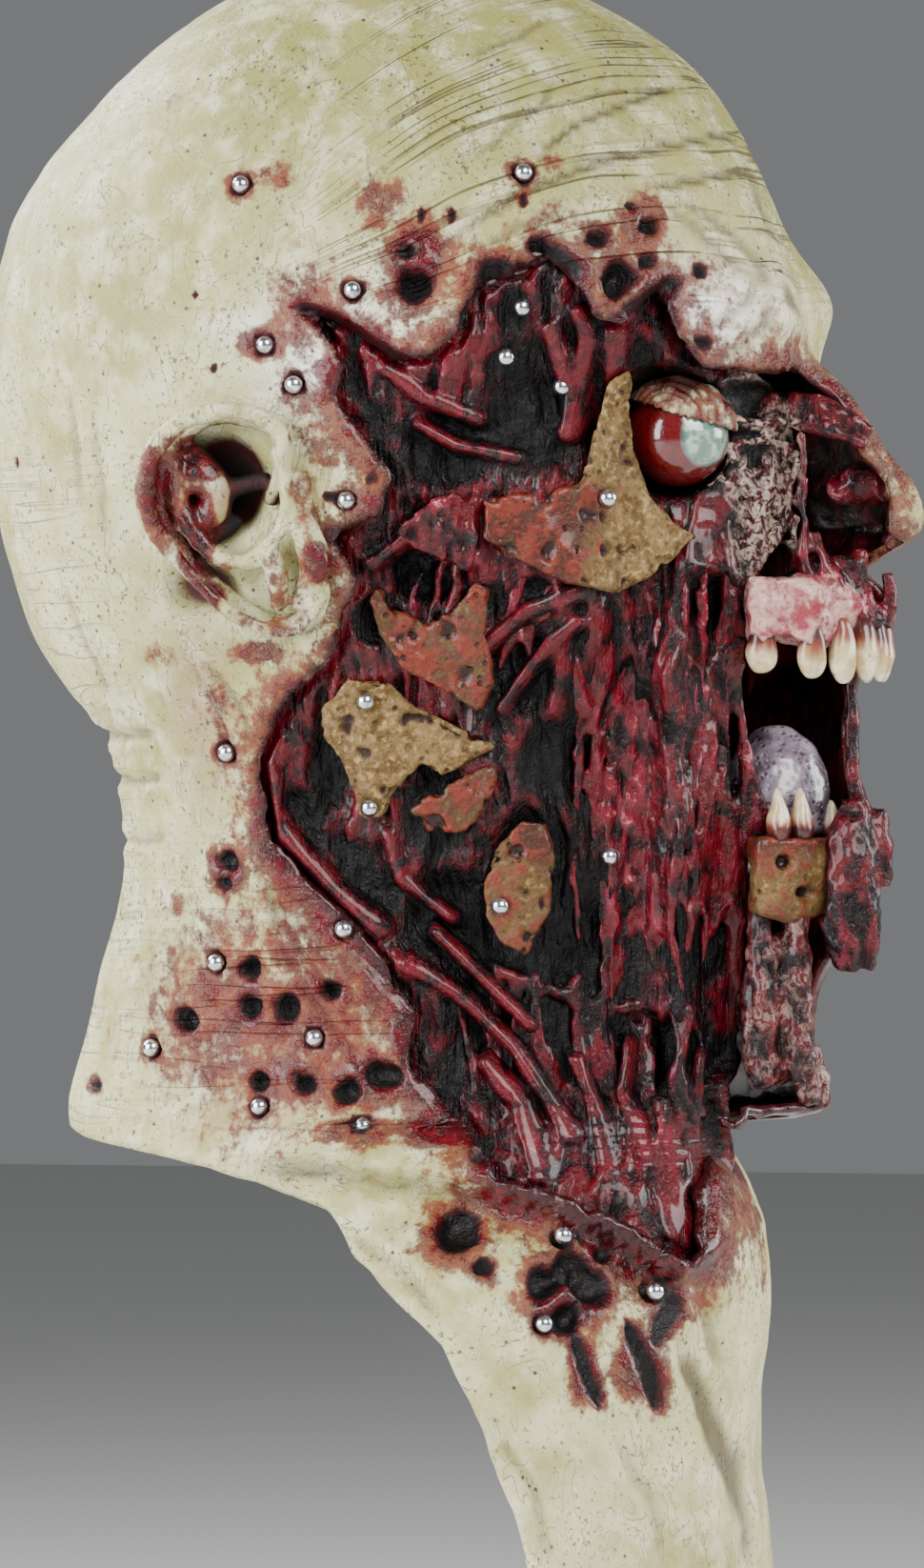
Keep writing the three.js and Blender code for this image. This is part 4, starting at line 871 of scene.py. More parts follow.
def skin_gap(p):
    """Distance from the skin's cut-outs: positive where latex is left, ragged along the wound."""
    x, y, z = p.T
    ragged = p * [0, 1, 1]
    rip = 1.7 * fractal(ragged, 9, 3, 5) + .5 * noise(ragged, 2.2, 9)
    calm = smooth(-(y / LENGTH), .55, .62) * (1 - smooth(-(z - CROWN) / HEIGHT, .97, 1.0))
    wound = outline_distance(side(WOUND_OUTLINE), y, z) + rip * (1 - calm)
    wound = np.maximum(wound, x + MIDLINE_CUT + .5 * rip)
    hem = outline_distance(side(HEM_OUTLINE), y, z) + .8 * fractal(ragged, 14, 2, 8)
    nose = ellipsoid_distance(p, *NOSE_HOLLOW) + .5 * rip
    mouth = ellipsoid_distance(p, *MOUTH) + .4 * rip
    slot = ellipsoid_distance(p, *EYE_SLOT)
    return np.minimum.reduce([wound, hem, nose, mouth, slot, z - SKIN_FOOT])


# Rows of the skin's grid: share of the rows, share of the whole drop that they reach
SKIN_ROWS = [(0, 0), (.06, .02), (.16, .1), (.3, .28), (.345, .345), (.362, .372), (.42, .43), (.7, .7),
             (1, 1)]


def skin_place(u, v):
    """Places on the plain skin, with denser columns round the right side."""
    even = np.linspace(0, 1, 401)
    drop = np.interp(v, even, np.interp(even, *zip(*SKIN_ROWS))) * (HEIGHT + BIB_DROP)
    z = CROWN - drop
    levels, which = np.unique(np.round(z, 4), return_inverse=True)
    dense = np.radians(np.linspace(-180, 180, 721))
    p = np.empty((len(u), 3))
    for k, level in enumerate(levels):
        ring = skin_point(dense, np.full(721, level))
        step = np.linalg.norm(np.diff(ring, axis=0), axis=1) * np.where(dense[1:] <= .5, 1.0, .5)
        total = np.concatenate([[0], np.cumsum(step)])
        total /= max(total[-1], 1e-9)
        mine = which == k
        angle = np.interp(u[mine], total, dense)
        p[mine] = skin_point(angle, np.full(mine.sum(), level))
    return p


def right_side(x):
    return smooth(-x, 2, 14)


def skin_relief(p):
    """Height and the paint masks of the skin at points p: blood, painted shade in its hollows, painted shade
    in its creases.
    """
    x, y, z = p.T
    right = right_side(x)
    rise = .5 * fractal(p, 26, 3, 1) + .22 * fractal(p, 6, 2, 4)
    blood, cave, crease = np.zeros(len(p)), np.zeros(len(p)), np.zeros(len(p))
    wobble = 1 + .5 * fractal(p, 4.5, 2, 12)
    for px, py, radius, depth in PITS:
        _, cy, cz = seen([(px, py)])[0]
        near = np.abs(y - cy) + np.abs(z - cz) < 6 * radius + 6
        q = p[near]
        d = np.hypot(q[:, 1] - cy, q[:, 2] - cz) / (radius * wobble[near])
        dip = 1 - smooth(d, .35, 1.05)
        rim = np.exp(-((d - 1.25) / .3) ** 2)
        w = right[near]
        rise[near] += w * (-depth * dip + .16 * depth * rim)
        # painted shade inside the pit
        cave[near] = np.maximum(cave[near], w * (1 - smooth(d, .7, 1.08)))
        blood[near] = np.maximum(blood[near], w * .62 * (1 - smooth(d, .9, 2.3)) * min(1, radius / 2.5))
    for line, half, depth in GASHES:
        pts = seen(line)[:, 1:]
        d, along = line_distance(pts, y, z)
        width = half * wobble * (.5 + 1.6 * along * (1 - along) * 2)
        rise -= right * depth * (1 - smooth(d / width, .3, 1.1))
        # painted shade inside the gash
        cave = np.maximum(cave, right * (1 - smooth(d / width, .7, 1.15)))
        blood = np.maximum(blood, right * .85 * (1 - smooth(d / width, 1, 2.8)))
    # the collar's raised edge, with a step down to the bib below it, and painted shade along the step's foot
    fold = seen(COLLAR_EDGE)[:, 1:]
    d, along = line_distance(fold, y, z + 1.2 * fractal(p, 14, 2, 23))
    level = np.interp(y, *np.array(sorted(map(tuple, fold))).T)
    below = smooth(level - z, -.8, .8)
    fade = right * smooth(along, .02, .12) * (1 - smooth(along, .93, 1))
    rise += fade * (6.4 * (1 - below) * np.exp(-(d / 12) ** 2) - 4.6 * below * np.exp(-(d / 10) ** 2))
    crease = np.maximum(crease, fade * .75 * below * np.exp(-(d / 1.6) ** 2))
    warp = .7 * fractal(p, 9, 2, 21)
    fan = [([tuple(np.add(np.multiply(a, 1 - t), np.multiply(b, t))) for a, b in zip(*NECK_FAN)], .9, 1.0, .6)
           for t in np.linspace(0, 1, 8)]
    for line, half, depth, dark in CREASES + fan:
        half = max(half, THINNEST_CREASE)
        pts = seen(line)[:, 1:]
        d, along = line_distance(pts, y + warp, z + warp)
        fade = smooth(along, 0, .2) * (1 - smooth(along, .8, 1))
        groove = np.exp(-(d / (half * 1.3)) ** 2)
        banks = np.exp(-((d - half * 3) / half / 1.5) ** 2)
        rise -= right * depth * fade * (1.2 * groove - .5 * banks)
        # painted shade along the bottom of the crease
        crease = np.maximum(crease, right * dark * fade * (1 - smooth(d, half * .4, half * 1.5)))
    for px, py, wide, tall, strength in BLOOD:
        d = spot_distance(y, z, px, py, wide, tall)
        blood = np.maximum(blood, right * strength * (1 - smooth(d, .35, 1.35)))
    for centre in pellet_places():
        d = np.linalg.norm(p - centre, axis=1)
        ring = np.exp(-((d - 4.1) / 1.1) ** 2)
        rise += .55 * ring - 2.0 * (1 - smooth(d, 2.3, 3.4))
        # painted shade round the foot of the ball
        cave = np.maximum(cave, .9 * (1 - smooth(d, 2.8, 3.6)))
        blood = np.maximum(blood, .5 * (1 - smooth(d, 3.2, 7)))
    return rise, blood, np.clip(cave, 0, 1), crease


def skin_masks(p, gap, blood):
    """The skin's other paint masks: gap is the distance from the wound, blood what the relief left."""
    x, y, z = p.T
    right = right_side(x)
    # blood thick along the wound's edge and behind the jaw, and on the lips and the tip of the nose
    around = np.where(x < 6, np.exp(-(gap / 10) ** 1.4), 0)
    lower = smooth((CROWN - z) / HEIGHT, .6, .9)
    blood = np.maximum(blood, around * (.7 + .5 * fractal(p, 9, 2, 31) + .25 * lower))
    neck = right * bell(y, z, (22, -284), (38, 30))
    blood = np.maximum(blood, neck * (.66 + .5 * fractal(p, 9, 3, 33)))
    lips = np.exp(-(np.maximum(ellipsoid_distance(p, *MOUTH), 0) / 3) ** 2)
    tip = bell(y, z, (-131, -153), (9, 9)) * (x < 14)
    blood = np.maximum(blood, .8 * np.maximum(lips, tip))
    # the forehead's wrinkles follow the brow, so their grain is laid along level lines bent like it
    level = z + .0046 * (y + 90) ** 2 * smooth(z, -150, -70) + 2.2 * fractal(p, 30, 2, 51)
    lined = .9 * right * bell(y, z, (-90, -94), (17, 13)) + neck
    lined = lined + smooth(z, -104, -88) * (.12 + .88 * smooth(-y, -20, 25))
    lined = lined + .55 * smooth(-z, 110, 150) * smooth(y, 55, 90)
    # painted highlight in front of and above the ear, and on the brow
    pale = bell(y, z, (-3, -112), (22, 16)) + bell(y, z, (-92, -98), (16, 12))
    tan = 1.1 * bell(y, z, (22, -292), (34, 26)) + .9 * bell(y, z, (40, -205), (12, 26))
    # painted shade: darker olive over the top of the head, and a patch above and behind the ear
    olive = np.maximum(smooth(z, -120, -40) * (1 - smooth(y, 30, 70)), .7 * bell(y, z, (58, -92), (16, 26)))
    return {"blood": blood, "lined": lined, "olive": olive, "pale": right * np.clip(pale, 0, 1),
            "tan": right * np.clip(tan, 0, 1), "edge": right * np.exp(-(gap / 1.7) ** 2),
            "flow": np.stack([level, y * .6 + x * .6, np.zeros(len(p))], 1) * MM}


def raw_inside(p):
    """Where the inside of the mask is flesh: the face, in front of the ears."""
    return smooth(-p[:, 1], 45, 75) * smooth(p[:, 2], -335, -318)


def make_skin():
    obj = grid_sheet("latex_skin", 304, 300, skin_place)
    merged(obj)
    cut_sheet(obj, skin_gap, 1.7)
    face_out(obj, (0, 0, 1))
    p, n = points_of(obj.data), normals_of(obj.data)
    if (n * (p - [0, 10, -150])).sum() < 0:
        obj.data.flip_normals()
        n = -n
    rise, blood, cave, crease = skin_relief(p)
    x, y, z = p.T
    gap = np.maximum(outline_distance(side(WOUND_OUTLINE), y, z), 0)
    gap = np.where(x < 0, gap, np.hypot(gap, np.maximum(x, 0)))
    swell = .9 * np.exp(-((gap - 3.2) / 1.8) ** 2) - .8 * np.exp(-(gap / 2.6) ** 2)
    rise += right_side(x) * swell * smooth(y, -125, -110)
    # a soft dent behind the temple
    rise -= 2.0 * right_side(x) * bell(y, z, (36, -80), (10, 12))
    # the hole of the ear on both sides, sunk in and painted dark as shade
    for sign in (-1, 1):
        on = smooth(sign * x, 20, 50)
        for cy, cz, wide, tall, depth, dark in [(31, -146, 16, 18, 7.4, .9), (38, -172, 12, 8, 5, .62)]:
            d = np.hypot((y - cy) / wide, (z - cz) / tall) * (1 + .12 * fractal(p, 8, 2, 61))
            rise -= depth * (1 - smooth(d, .5, 1.05)) * on
            cave = np.maximum(cave, dark * (1 - smooth(d, .3, 1.0)) * on)
    rise = np.maximum(rise, -DEEPEST_DENT)
    put_points(obj.data, p + n * rise[:, None])
    paint(obj.data, cave=cave, crease=crease, raw=raw_inside(p), **skin_masks(p, gap, blood))
    thickened(obj, SKIN_WALL, .2)
    # the relief of raw flesh on the inside of the face, dying out at the mask's cut in the middle
    inner = np.zeros(len(obj.data.vertices), bool)
    for face in obj.data.polygons:
        if face.material_index == 1:
            inner[list(face.vertices)] = True
    p, n = points_of(obj.data), normals_of(obj.data)
    relief = 2.6 * (ridged(p, (5, 5, 10), 55) - .45) + 1.2 * fractal(p, 7, 2, 57)
    rim = np.exp(-(np.maximum(p[:, 0] + MIDLINE_CUT, 0) / 2) ** 2)
    amount = raw_inside(p) * inner * (1 - rim) * np.maximum(relief, -.5)
    put_points(obj.data, p + n * amount[:, None])
    finish_piece(obj, "latex_skin", ["head_skin"], painted_latex(), inner_latex())


# Flesh
# Hollows of the wound, sunk in and painted dark as shade: place in the view, half width and half height,
# depth in mm
HOLLOWS = [
    (445, 600, 44, 40, 7), (728, 630, 26, 34, 6), (545, 700, 36, 60, 5), (700, 455, 58, 66, 3),
    (560, 440, 60, 60, 4), (470, 470, 50, 50, 4), (600, 1000, 50, 70, 3.5),
    (470, 960, 60, 60, 4), (700, 1110, 60, 46, 5), (560, 620, 20, 16, 3),
    (580, 800, 40, 50, 4), (345, 810, 24, 50, 3), (390, 650, 20, 30, 3),
    (650, 1130, 40, 30, 3), (520, 1090, 40, 40, 3), (330, 330, 20, 10, 2),
    (640, 800, 60, 120, 5.5), (720, 900, 60, 160, 6), (560, 900, 50, 60, 4), (460, 850, 40, 60, 3),
    (785, 418, 34, 26, 8), (745, 640, 34, 40, 5), (560, 1020, 120, 160, 2.5), (620, 1120, 110, 60, 2),
]
# Cords of flesh on the bed: points in the view, radius in mm
CORDS = [
    ([(285, 745), (282, 800), (300, 870), (350, 930), (400, 968)], 3.6),
    ([(575, 330), (585, 370), (598, 410), (590, 450)], 3.2), ([(610, 320), (618, 360), (606, 400)], 2.6),
    ([(640, 300), (648, 350), (640, 400)], 2.6), ([(400, 380), (450, 420), (500, 440)], 2.4),
    ([(430, 440), (480, 470), (540, 480)], 2.2), ([(420, 1000), (480, 1040), (540, 1100), (600, 1190)], 2.6),
    ([(440, 960), (500, 1020), (560, 1080)], 2.4), ([(500, 1100), (550, 1160), (570, 1230)], 3),
    ([(600, 1100), (620, 1160), (640, 1230)], 2.4),
    ([(660, 1080), (650, 1150), (690, 1220), (710, 1290)], 2.6),
    ([(690, 1150), (712, 1230), (722, 1300)], 2.2), ([(400, 860), (420, 920), (470, 960)], 2.4),
    ([(500, 690), (560, 640), (610, 615)], 2.4), ([(520, 760), (560, 700), (600, 650)], 2.0),
    ([(380, 600), (440, 560), (500, 530)], 2.4), ([(330, 700), (350, 660), (380, 620)], 2.4),
    ([(740, 480), (790, 520), (830, 500), (850, 470)], 2.0), ([(720, 510), (770, 540), (800, 580)], 1.8),
    ([(790, 470), (820, 520), (815, 580)], 1.6), ([(755, 450), (800, 440), (840, 450)], 1.6),
]


def flesh_relief(p):
    """Relief of the wound bed, towards the viewer, with its masks of painted light on the raised fibres and
    painted shade in the low places.
    """
    _, y, z = p.T
    q = np.stack([np.zeros(len(p)), y, z], 1)
    warp = 5 * fractal(q, 22, 2, 41)
    bent = q + np.outer(warp, [0, 1, .6])
    fibre = ridged(bent, (9, 3.6, 20), 43)
    thread = ridged(bent, (9, 1.9, 12), 45)
    lumps = fractal(bent, 11, 3, 47)
    rise = 4.2 * (fibre - .6) + 2.8 * lumps + 1.9 * (thread - .6)
    lift = .3 + 1.1 * (fibre - .6) + .5 * lumps + .6 * (thread - .6)
    cave = np.clip(smooth(-lumps, .02, .6) * .7 + smooth(.52 - fibre, 0, .3) * .6, 0, 1)
    for px, py, wide, tall, depth in HOLLOWS:
        d = spot_distance(y, z, px, py, wide, tall, 11) / (1 + .25 * lumps)
        dip = 1 - smooth(d, .45, 1.1)
        rise -= depth * dip
        cave = np.maximum(cave, dip)
        lift -= .5 * dip
    for line, radius in CORDS:
        pts = seen(line, depth=9)[:, 1:]
        d, along = line_distance(pts, y + .35 * warp, z + .35 * warp)
        body = np.sqrt(np.clip(1 - (d / (radius * (1.1 + .25 * lumps))) ** 2, 0, 1))
        body *= smooth(along, -.01, .12)
        rise = np.maximum(rise, rise * (1 - body) + body * (radius * 1.25))
        lift = np.maximum(lift, body * (.8 + .3 * lumps))
        cave = cave * (1 - body)
    return rise, np.clip(lift, 0, 1.4), np.clip(cave, 0, 1)


def make_bed():
    corners = side(BED_OUTLINE)
    low, high = corners.min(0) - 2, corners.max(0) + 2
    columns, rows = (int(count) for count in (high - low) / BED_STEP)

    def place(u, v):
        y, z = low[0] + u * (high[0] - low[0]), low[1] + v * (high[1] - low[1])
        return np.stack([bed_face(y, z), y, z], 1)

    obj = grid_sheet("wound_flesh", columns, rows, place)
    cut_sheet(obj, lambda p: -outline_distance(corners, p[:, 1], p[:, 2]) - .3, BED_STEP)
    face_out(obj, (-1, 0, 0))
    p = points_of(obj.data)
    rise, lift, cave = flesh_relief(p)
    _, y, z = p.T
    under = smooth(outline_distance(side(WOUND_OUTLINE), y, z), -3.5, .5)
    rise = rise * (1 - under) - 1.2 * under
    p[:, 0] -= rise
    # a round socket where the eye sits, painted dark as shade
    flat = np.hypot(y - EYE[1], z - EYE[2])
    bowl = EYE[0] + .9 * np.sqrt(np.maximum(16.2**2 - flat**2, 0))
    blend = 1 - smooth(flat, 13.5, 19.5)
    p[:, 0] = p[:, 0] * (1 - blend) + np.maximum(bowl, p[:, 0]) * blend
    cave = np.maximum(cave, blend)
    lift = lift * (1 - blend)
    put_points(obj.data, p)
    upper = 1 - smooth((CROWN - z) / HEIGHT, .5, .62)
    paint(obj.data, lift=lift, cave=cave, tint=.6 * upper * smooth(-y, 88, 98))
    thickened(obj, BED_WALL, .3)
    finish_piece(obj, "wet_flesh", ["wound_bed"], wet_flesh(), wet_flesh())


def tubes(name, rows, sides=10):
    """Tapered tubes along smooth lines: each row is the points in mm and the radius at each."""
    curve = bpy.data.curves.new(name, "CURVE")
    curve.dimensions = "3D"
    curve.bevel_depth = MM
    curve.bevel_resolution = sides // 4
    curve.use_fill_caps = True
    curve.resolution_u = 4
    for points, radii in rows:
        spline = curve.splines.new("NURBS")
        spline.points.add(len(points) - 1)
        spline.use_endpoint_u = True
        spline.order_u = 3
        for k, (point, radius) in enumerate(zip(points, radii)):
            spline.points[k].co = (*(np.asarray(point) * MM), 1)
            spline.points[k].radius = radius
    made = bpy.data.objects.new(name + "_line", curve)
    bpy.context.scene.collection.objects.link(made)
    graph = bpy.context.evaluated_depsgraph_get()
    mesh = bpy.data.meshes.new_from_object(made.evaluated_get(graph))
    obj = bpy.data.objects.new(name, mesh)
    bpy.context.scene.collection.objects.link(obj)
    bpy.data.objects.remove(made)
    return obj


# Torn strands of the cheek: points in the view, then radii in mm, how far off the bed
CHEEK = [
    ([(585, 590), (592, 650), (600, 705), (612, 740), (618, 768)], [1.6, 2.4, 3.6, 4.4, 1.4]),
    ([(610, 600), (618, 660), (628, 720), (622, 760)], [1.8, 2.2, 3.4, 1.4]),
    ([(640, 600), (636, 650), (634, 700), (640, 742)], [1.8, 2.2, 3.0, 1.4]),
    ([(655, 600), (662, 680), (668, 760), (660, 840), (668, 900)], [1.8, 1.8, 2.0, 1.8, 1.6]),
    ([(680, 605), (690, 680), (700, 750), (704, 830), (690, 900), (690, 985), (682, 1040)],
     [2, 1.8, 2.2, 2, 2.4, 4.2, 1.6]),
    ([(700, 590), (698, 640), (716, 690), (738, 700)], [2.4, 2, 2, 1.8]),
    ([(765, 590), (764, 640), (752, 690), (738, 705)], [2.4, 2, 2.2, 1.8]),
    ([(738, 700), (732, 780), (722, 860), (730, 930), (722, 1000)], [2.2, 2.0, 1.8, 2.2, 1.4]),
    ([(764, 590), (770, 640), (762, 720), (756, 800), (760, 880), (770, 960), (772, 1050), (768, 1062)],
     [2.2, 1.8, 2.0, 2.2, 2.4, 3.4, 4.0, 1.4]),
    ([(748, 720), (742, 800), (746, 880), (742, 940)], [1.8, 2.0, 2.0, 1.2]),
    ([(700, 700), (712, 760), (706, 820), (716, 880)], [1.6, 1.8, 1.8, 1.2]),
    ([(668, 700), (680, 780), (676, 860), (650, 920), (640, 1000)], [1.6, 1.8, 1.8, 1.8, 1.4]),
    ([(782, 780), (790, 830), (800, 870), (805, 850)], [2.2, 2.6, 3.2, 2]),
    ([(775, 620), (800, 640), (790, 610)], [1.6, 1.8, 1.6]),
    ([(580, 596), (640, 600), (700, 592), (765, 588)], [2.6, 2.4, 2.6, 2.4]),
    ([(560, 650), (585, 630), (600, 600)], [1.4, 1.6, 2.0]),
    ([(520, 690), (560, 650), (590, 622)], [1.2, 1.6, 1.8]),
    ([(690, 900), (740, 920), (770, 940)], [1.6, 1.6, 1.6]),
    ([(650, 900), (640, 950), (655, 1010)], [1.4, 2.0, 1.2]),
]
# Torn flesh of the nose, upper lip and the fibres between the eye and the nose
FIBRES = [
    ([(700, 545), (740, 530), (780, 500), (830, 480)], [1.4, 1.3, 1.4, 1]),
    ([(715, 560), (760, 548), (800, 540), (840, 545)], [1.2, 1.3, 1.2, 1]),
    ([(745, 450), (775, 480), (800, 520), (812, 570)], [1.2, 1.3, 1.2, 1]),
    ([(760, 470), (800, 462), (840, 470)], [1.2, 1.2, 1]),
    ([(750, 500), (785, 520), (790, 560), (785, 590)], [1.1, 1.3, 1.3, 1]),
    ([(770, 440), (800, 450), (825, 480), (830, 520)], [1.2, 1.2, 1.2, 1]),
    ([(730, 520), (760, 500), (770, 470)], [1.1, 1.1, 1]),
    ([(755, 575), (790, 565), (830, 570)], [1.2, 1.2, 1]),
    ([(815, 470), (822, 520), (835, 560), (830, 600)], [1.3, 1.2, 1.2, 1]),
    ([(735, 560), (745, 585), (765, 600)], [1.1, 1.2, 1.1]),
    ([(745, 535), (790, 545), (815, 530), (835, 500)], [1, 1.1, 1.1, 1]),
]
NASAL = [
    ([(770, 428), (805, 424), (850, 426), (885, 436), (915, 456)], [2.4, 3.4, 3.6, 3.2, 2.2], -10),
    ([(780, 440), (830, 440), (880, 452), (910, 468)], [2.4, 2.6, 2.4, 1.6], -12),
    ([(936, 500), (948, 530), (946, 556), (930, 572)], [1.4, 3, 3.8, 2], -2),
    ([(872, 520), (895, 506), (925, 512), (932, 530)], [3, 6.5, 5.5, 3], 3),
    ([(905, 575), (900, 600), (906, 630), (924, 655)], [2.6, 3.2, 3.4, 2.4], -7),
    ([(880, 600), (893, 628), (912, 655)], [2.2, 2.8, 2.2], -9),
    ([(930, 600), (936, 630), (930, 655)], [1.6, 2.4, 2], -4),
    ([(838, 452), (846, 480), (836, 510), (842, 540)], [1.3, 1.1, 1.3, 1], -21),
    ([(830, 520), (848, 540), (838, 575), (848, 605)], [1.2, 1.2, 1.4, 1.2], -20),
    ([(846, 500), (838, 545), (852, 580)], [1, 1.1, 1], -17),
    ([(856, 560), (862, 590), (880, 620)], [1.6, 2.2, 2.6], -14),
    ([(830, 570), (850, 600), (870, 640)], [1.6, 2.6, 2.6], -17),
    ([(850, 590), (880, 588), (905, 592)], [1.6, 2, 1.8], -10),
]
# Flesh round the jaw stump and the far lip, in planes of x
JAW = [
    ([(800, 955), (796, 1020), (792, 1090), (802, 1140)], [3, 4.2, 4.6, 3.4], -17),
    ([(835, 960), (832, 1040), (836, 1110), (852, 1160)], [3.4, 4.6, 4.6, 3], -12),
    ([(850, 1100), (862, 1140), (868, 1165)], [3, 3, 2], -8),
]
LIP = [
    ([(892, 700), (896, 760), (893, 820), (905, 850)], [1.6, 1.9, 2.2, 2.6], -5),
    ([(900, 840), (915, 880), (908, 930), (915, 980), (905, 1020)], [2.6, 3.6, 3.2, 3.6, 2.4], -7),
    ([(920, 850), (930, 890), (926, 930)], [2, 2.8, 2.2], -5),
]
NECK = [
    ([(640, 1000), (630, 1060), (640, 1130), (650, 1200)], [1.6, 2.4, 2.2, 1.6]),
    ([(600, 1030), (610, 1100), (600, 1160), (620, 1210)], [1.6, 2.2, 2.0, 1.6]),
    ([(560, 1020), (560, 1090), (580, 1150), (570, 1210)], [1.6, 2.2, 2.2, 1.6]),
    ([(520, 1010), (520, 1080), (540, 1150), (550, 1200)], [1.4, 2.0, 2.0, 1.6]),
    ([(680, 1060), (672, 1130), (690, 1200), (708, 1270)], [1.8, 2.2, 2.2, 1.8]),
    ([(720, 1070), (706, 1140), (718, 1210), (728, 1290)], [2, 2.2, 2.2, 1.8]),
    ([(640, 1060), (680, 1052), (720, 1062)], [2.4, 2.4, 2.4]),
    ([(520, 1020), (580, 1040), (640, 1060)], [2, 2, 2.2]),
]


def hanging(seed, count, across, top, foot, lean=0.0):
    """Thin strands strewn over a part of the view: ranges of px across, the top's py and the foot's py."""
    draw = np.random.default_rng(seed)
    rows = []
    for k in range(count):
        x = across[0] + (across[1] - across[0]) * (k + draw.uniform(.1, .9)) / count
        y0, y1 = draw.uniform(*top), draw.uniform(*foot)
        share = np.linspace(0, 1, 5)
        xs = x + lean * (y1 - y0) * share + draw.normal(0, 4.5, 5)
        thick = draw.uniform(.8, 1.5)
        swell = 1 + draw.uniform(.2, 1.3) * np.exp(-((share - draw.uniform(.5, .9)) / .18) ** 2)
        swell[-1] = .7
        rows.append((list(zip(xs, y0 + (y1 - y0) * share)), list(thick * swell)))
    return rows


def strand_rows(table, off):
    """Rows for tubes() that hang so many mm off the bed, with a wobble."""
    rows = []
    for k, (line, radii) in enumerate(table):
        share, given = np.linspace(0, 1, 2 * len(line) - 1), np.linspace(0, 1, len(line))
        pts = np.stack([np.interp(share, given, across) for across in zip(*line)], 1)
        rad = np.interp(share, given, radii)
        at = seen(pts, depth=14)
        for _ in range(3):
            deep = bed_face(at[:, 1], at[:, 2])
            reach = side_reach(at[:, 1], at[:, 2])
            at = np.array([seen([pt], depth=float(r + d + rr * .5 + off))[0]
                           for pt, d, r, rr in zip(pts, deep, reach, rad)])
        wob = noise(at * [1, 1, .6], 9, 60 + k)
        at[:, 0] += .8 * wob
        at[:, 1] += wob
        rows.append((at, rad * (1 + .12 * noise(at, 5, 80 + k))))
    return rows


def plane_rows(table):
    """Rows for tubes() that lie in planes of x."""
    rows = []
    for k, (line, radii, plane) in enumerate(table):
        at = seen(line, plane=plane)
        wob = np.stack([noise(at, 7, 95 + k), noise(at, 6, 96 + k), noise(at, 5, 97 + k)], 1)
        rows.append((at + .8 * wob, radii))
    return rows


def joined(obj, *others):
    """Takes the meshes of other objects into obj."""
    bm = bmesh.new()
    for each in (obj, *others):
        bm.from_mesh(each.data)
    bm.to_mesh(obj.data)
    bm.free()
    for each in others:
        bpy.data.objects.remove(each)
    return obj


def fleshy(obj, size, amount=.8, stretch=(3.2, 3.2, 8), seed=90, tint=0.0, bright=.68):
    """Fuses a piece by voxels and gives it wet fibres, lumps and the masks of the flesh: painted light on the
    raised fibres, at a level its last argument sets, and painted shade in the sunken ones.
    """
    remeshed(obj, size, 3)

    def fibres(p):
        return amount * (.9 * fractal(p, stretch, 2, seed) + .55 * noise(p, (1.8, 1.8, 3), seed + 5))
    p, out = settle(obj, fibres)
    lift = np.clip(bright + .5 * out / amount + .2 * fractal(p, 9, 2, seed + 9), 0, 1.4)
    paint(obj.data, lift=lift, cave=np.clip(-.9 * out / amount - .25, 0, .7), tint=np.full(len(p), tint))


def make_strands():
    cheek = tubes("cheek_strings", strand_rows(CHEEK, 2.6) + strand_rows(FIBRES, 1.2)
                  + strand_rows(hanging(3, 20, (608, 782), (590, 660), (740, 1050)), 3.4)
                  + strand_rows(hanging(4, 12, (632, 778), (760, 860), (930, 1070)), 2.2)
                  + strand_rows(hanging(5, 9, (420, 600), (560, 650), (640, 720), -.25), .8)
                  + plane_rows(NASAL))
    fleshy(cheek, .9, .7)
    _, y, z = points_of(cheek.data).T
    nose = smooth(-y, 74, 84) * smooth(z, -166, -160)
    paint(cheek.data, tint=nose * (.62 - .4 * smooth(-y, 108, 116) - .3 * smooth(z, -128, -120)))
    finish_piece(cheek, "wet_flesh", ["cheek_strands"], wet_flesh())
    neck = tubes("neck_strings", strand_rows(NECK, 1.6) + strand_rows(
        hanging(6, 18, (470, 735), (1010, 1110), (1150, 1290), .12), 1.4))
    # the neck's strands get less painted light, so they lie darker as painted shade low in the wound
    fleshy(neck, 1.1, .7, seed=120, bright=.42)
    finish_piece(neck, "wet_flesh", ["neck_sinews"], wet_flesh())


def make_plates():
    for name, slot, size, amount, seed in [
        ("cheekbone", "old_bone", 1.0, .7, 140), ("jaw_ramus", "old_bone", .9, .8, 150),
        ("mastoid_plate", "old_bone", .8, 1.1, 160), ("bone_chip", "old_bone", .7, .8, 170),
        ("flesh_chunk", "wet_flesh", .7, 1.3, 190), ("temple_muscle", "wet_flesh", .7, 1.0, 180),
    ]:
        obj = copy_of(name + "_worked", name)
        if name == "temple_muscle":
            fleshy(obj, size, amount, (5, 2.2, 3.5), seed, tint=.18)
            finish_piece(obj, slot, [name], wet_flesh())
            continue
        remeshed(obj, size, 5)
        p = points_of(obj.data)
        pit = smooth(-fractal(p, 4.5, 2, seed + 3), .12, .5)
        settle(obj, lambda q: amount * (fractal(q, 6, 3, seed) + .3 * noise(q, 1.6, seed + 1)) - 1.5 * pit)
        _, y, z = p.T
        if name == "cheekbone":
            stain = smooth(-z, 138, 150) * smooth(y + .35 * (z + 150), -76, -62) * .75 + .12
        elif name in ("jaw_ramus", "flesh_chunk"):
            stain = np.full(len(p), .72)
        else:
            stain = (.6 if name == "bone_chip" else .22) + .3 * smooth(fractal(p, 12, 2, seed), 0, .6)
        # painted shade in the pits
        paint(obj.data, stain=stain, cave=.8 * pit)
        finish_piece(obj, slot, [name], old_bone())


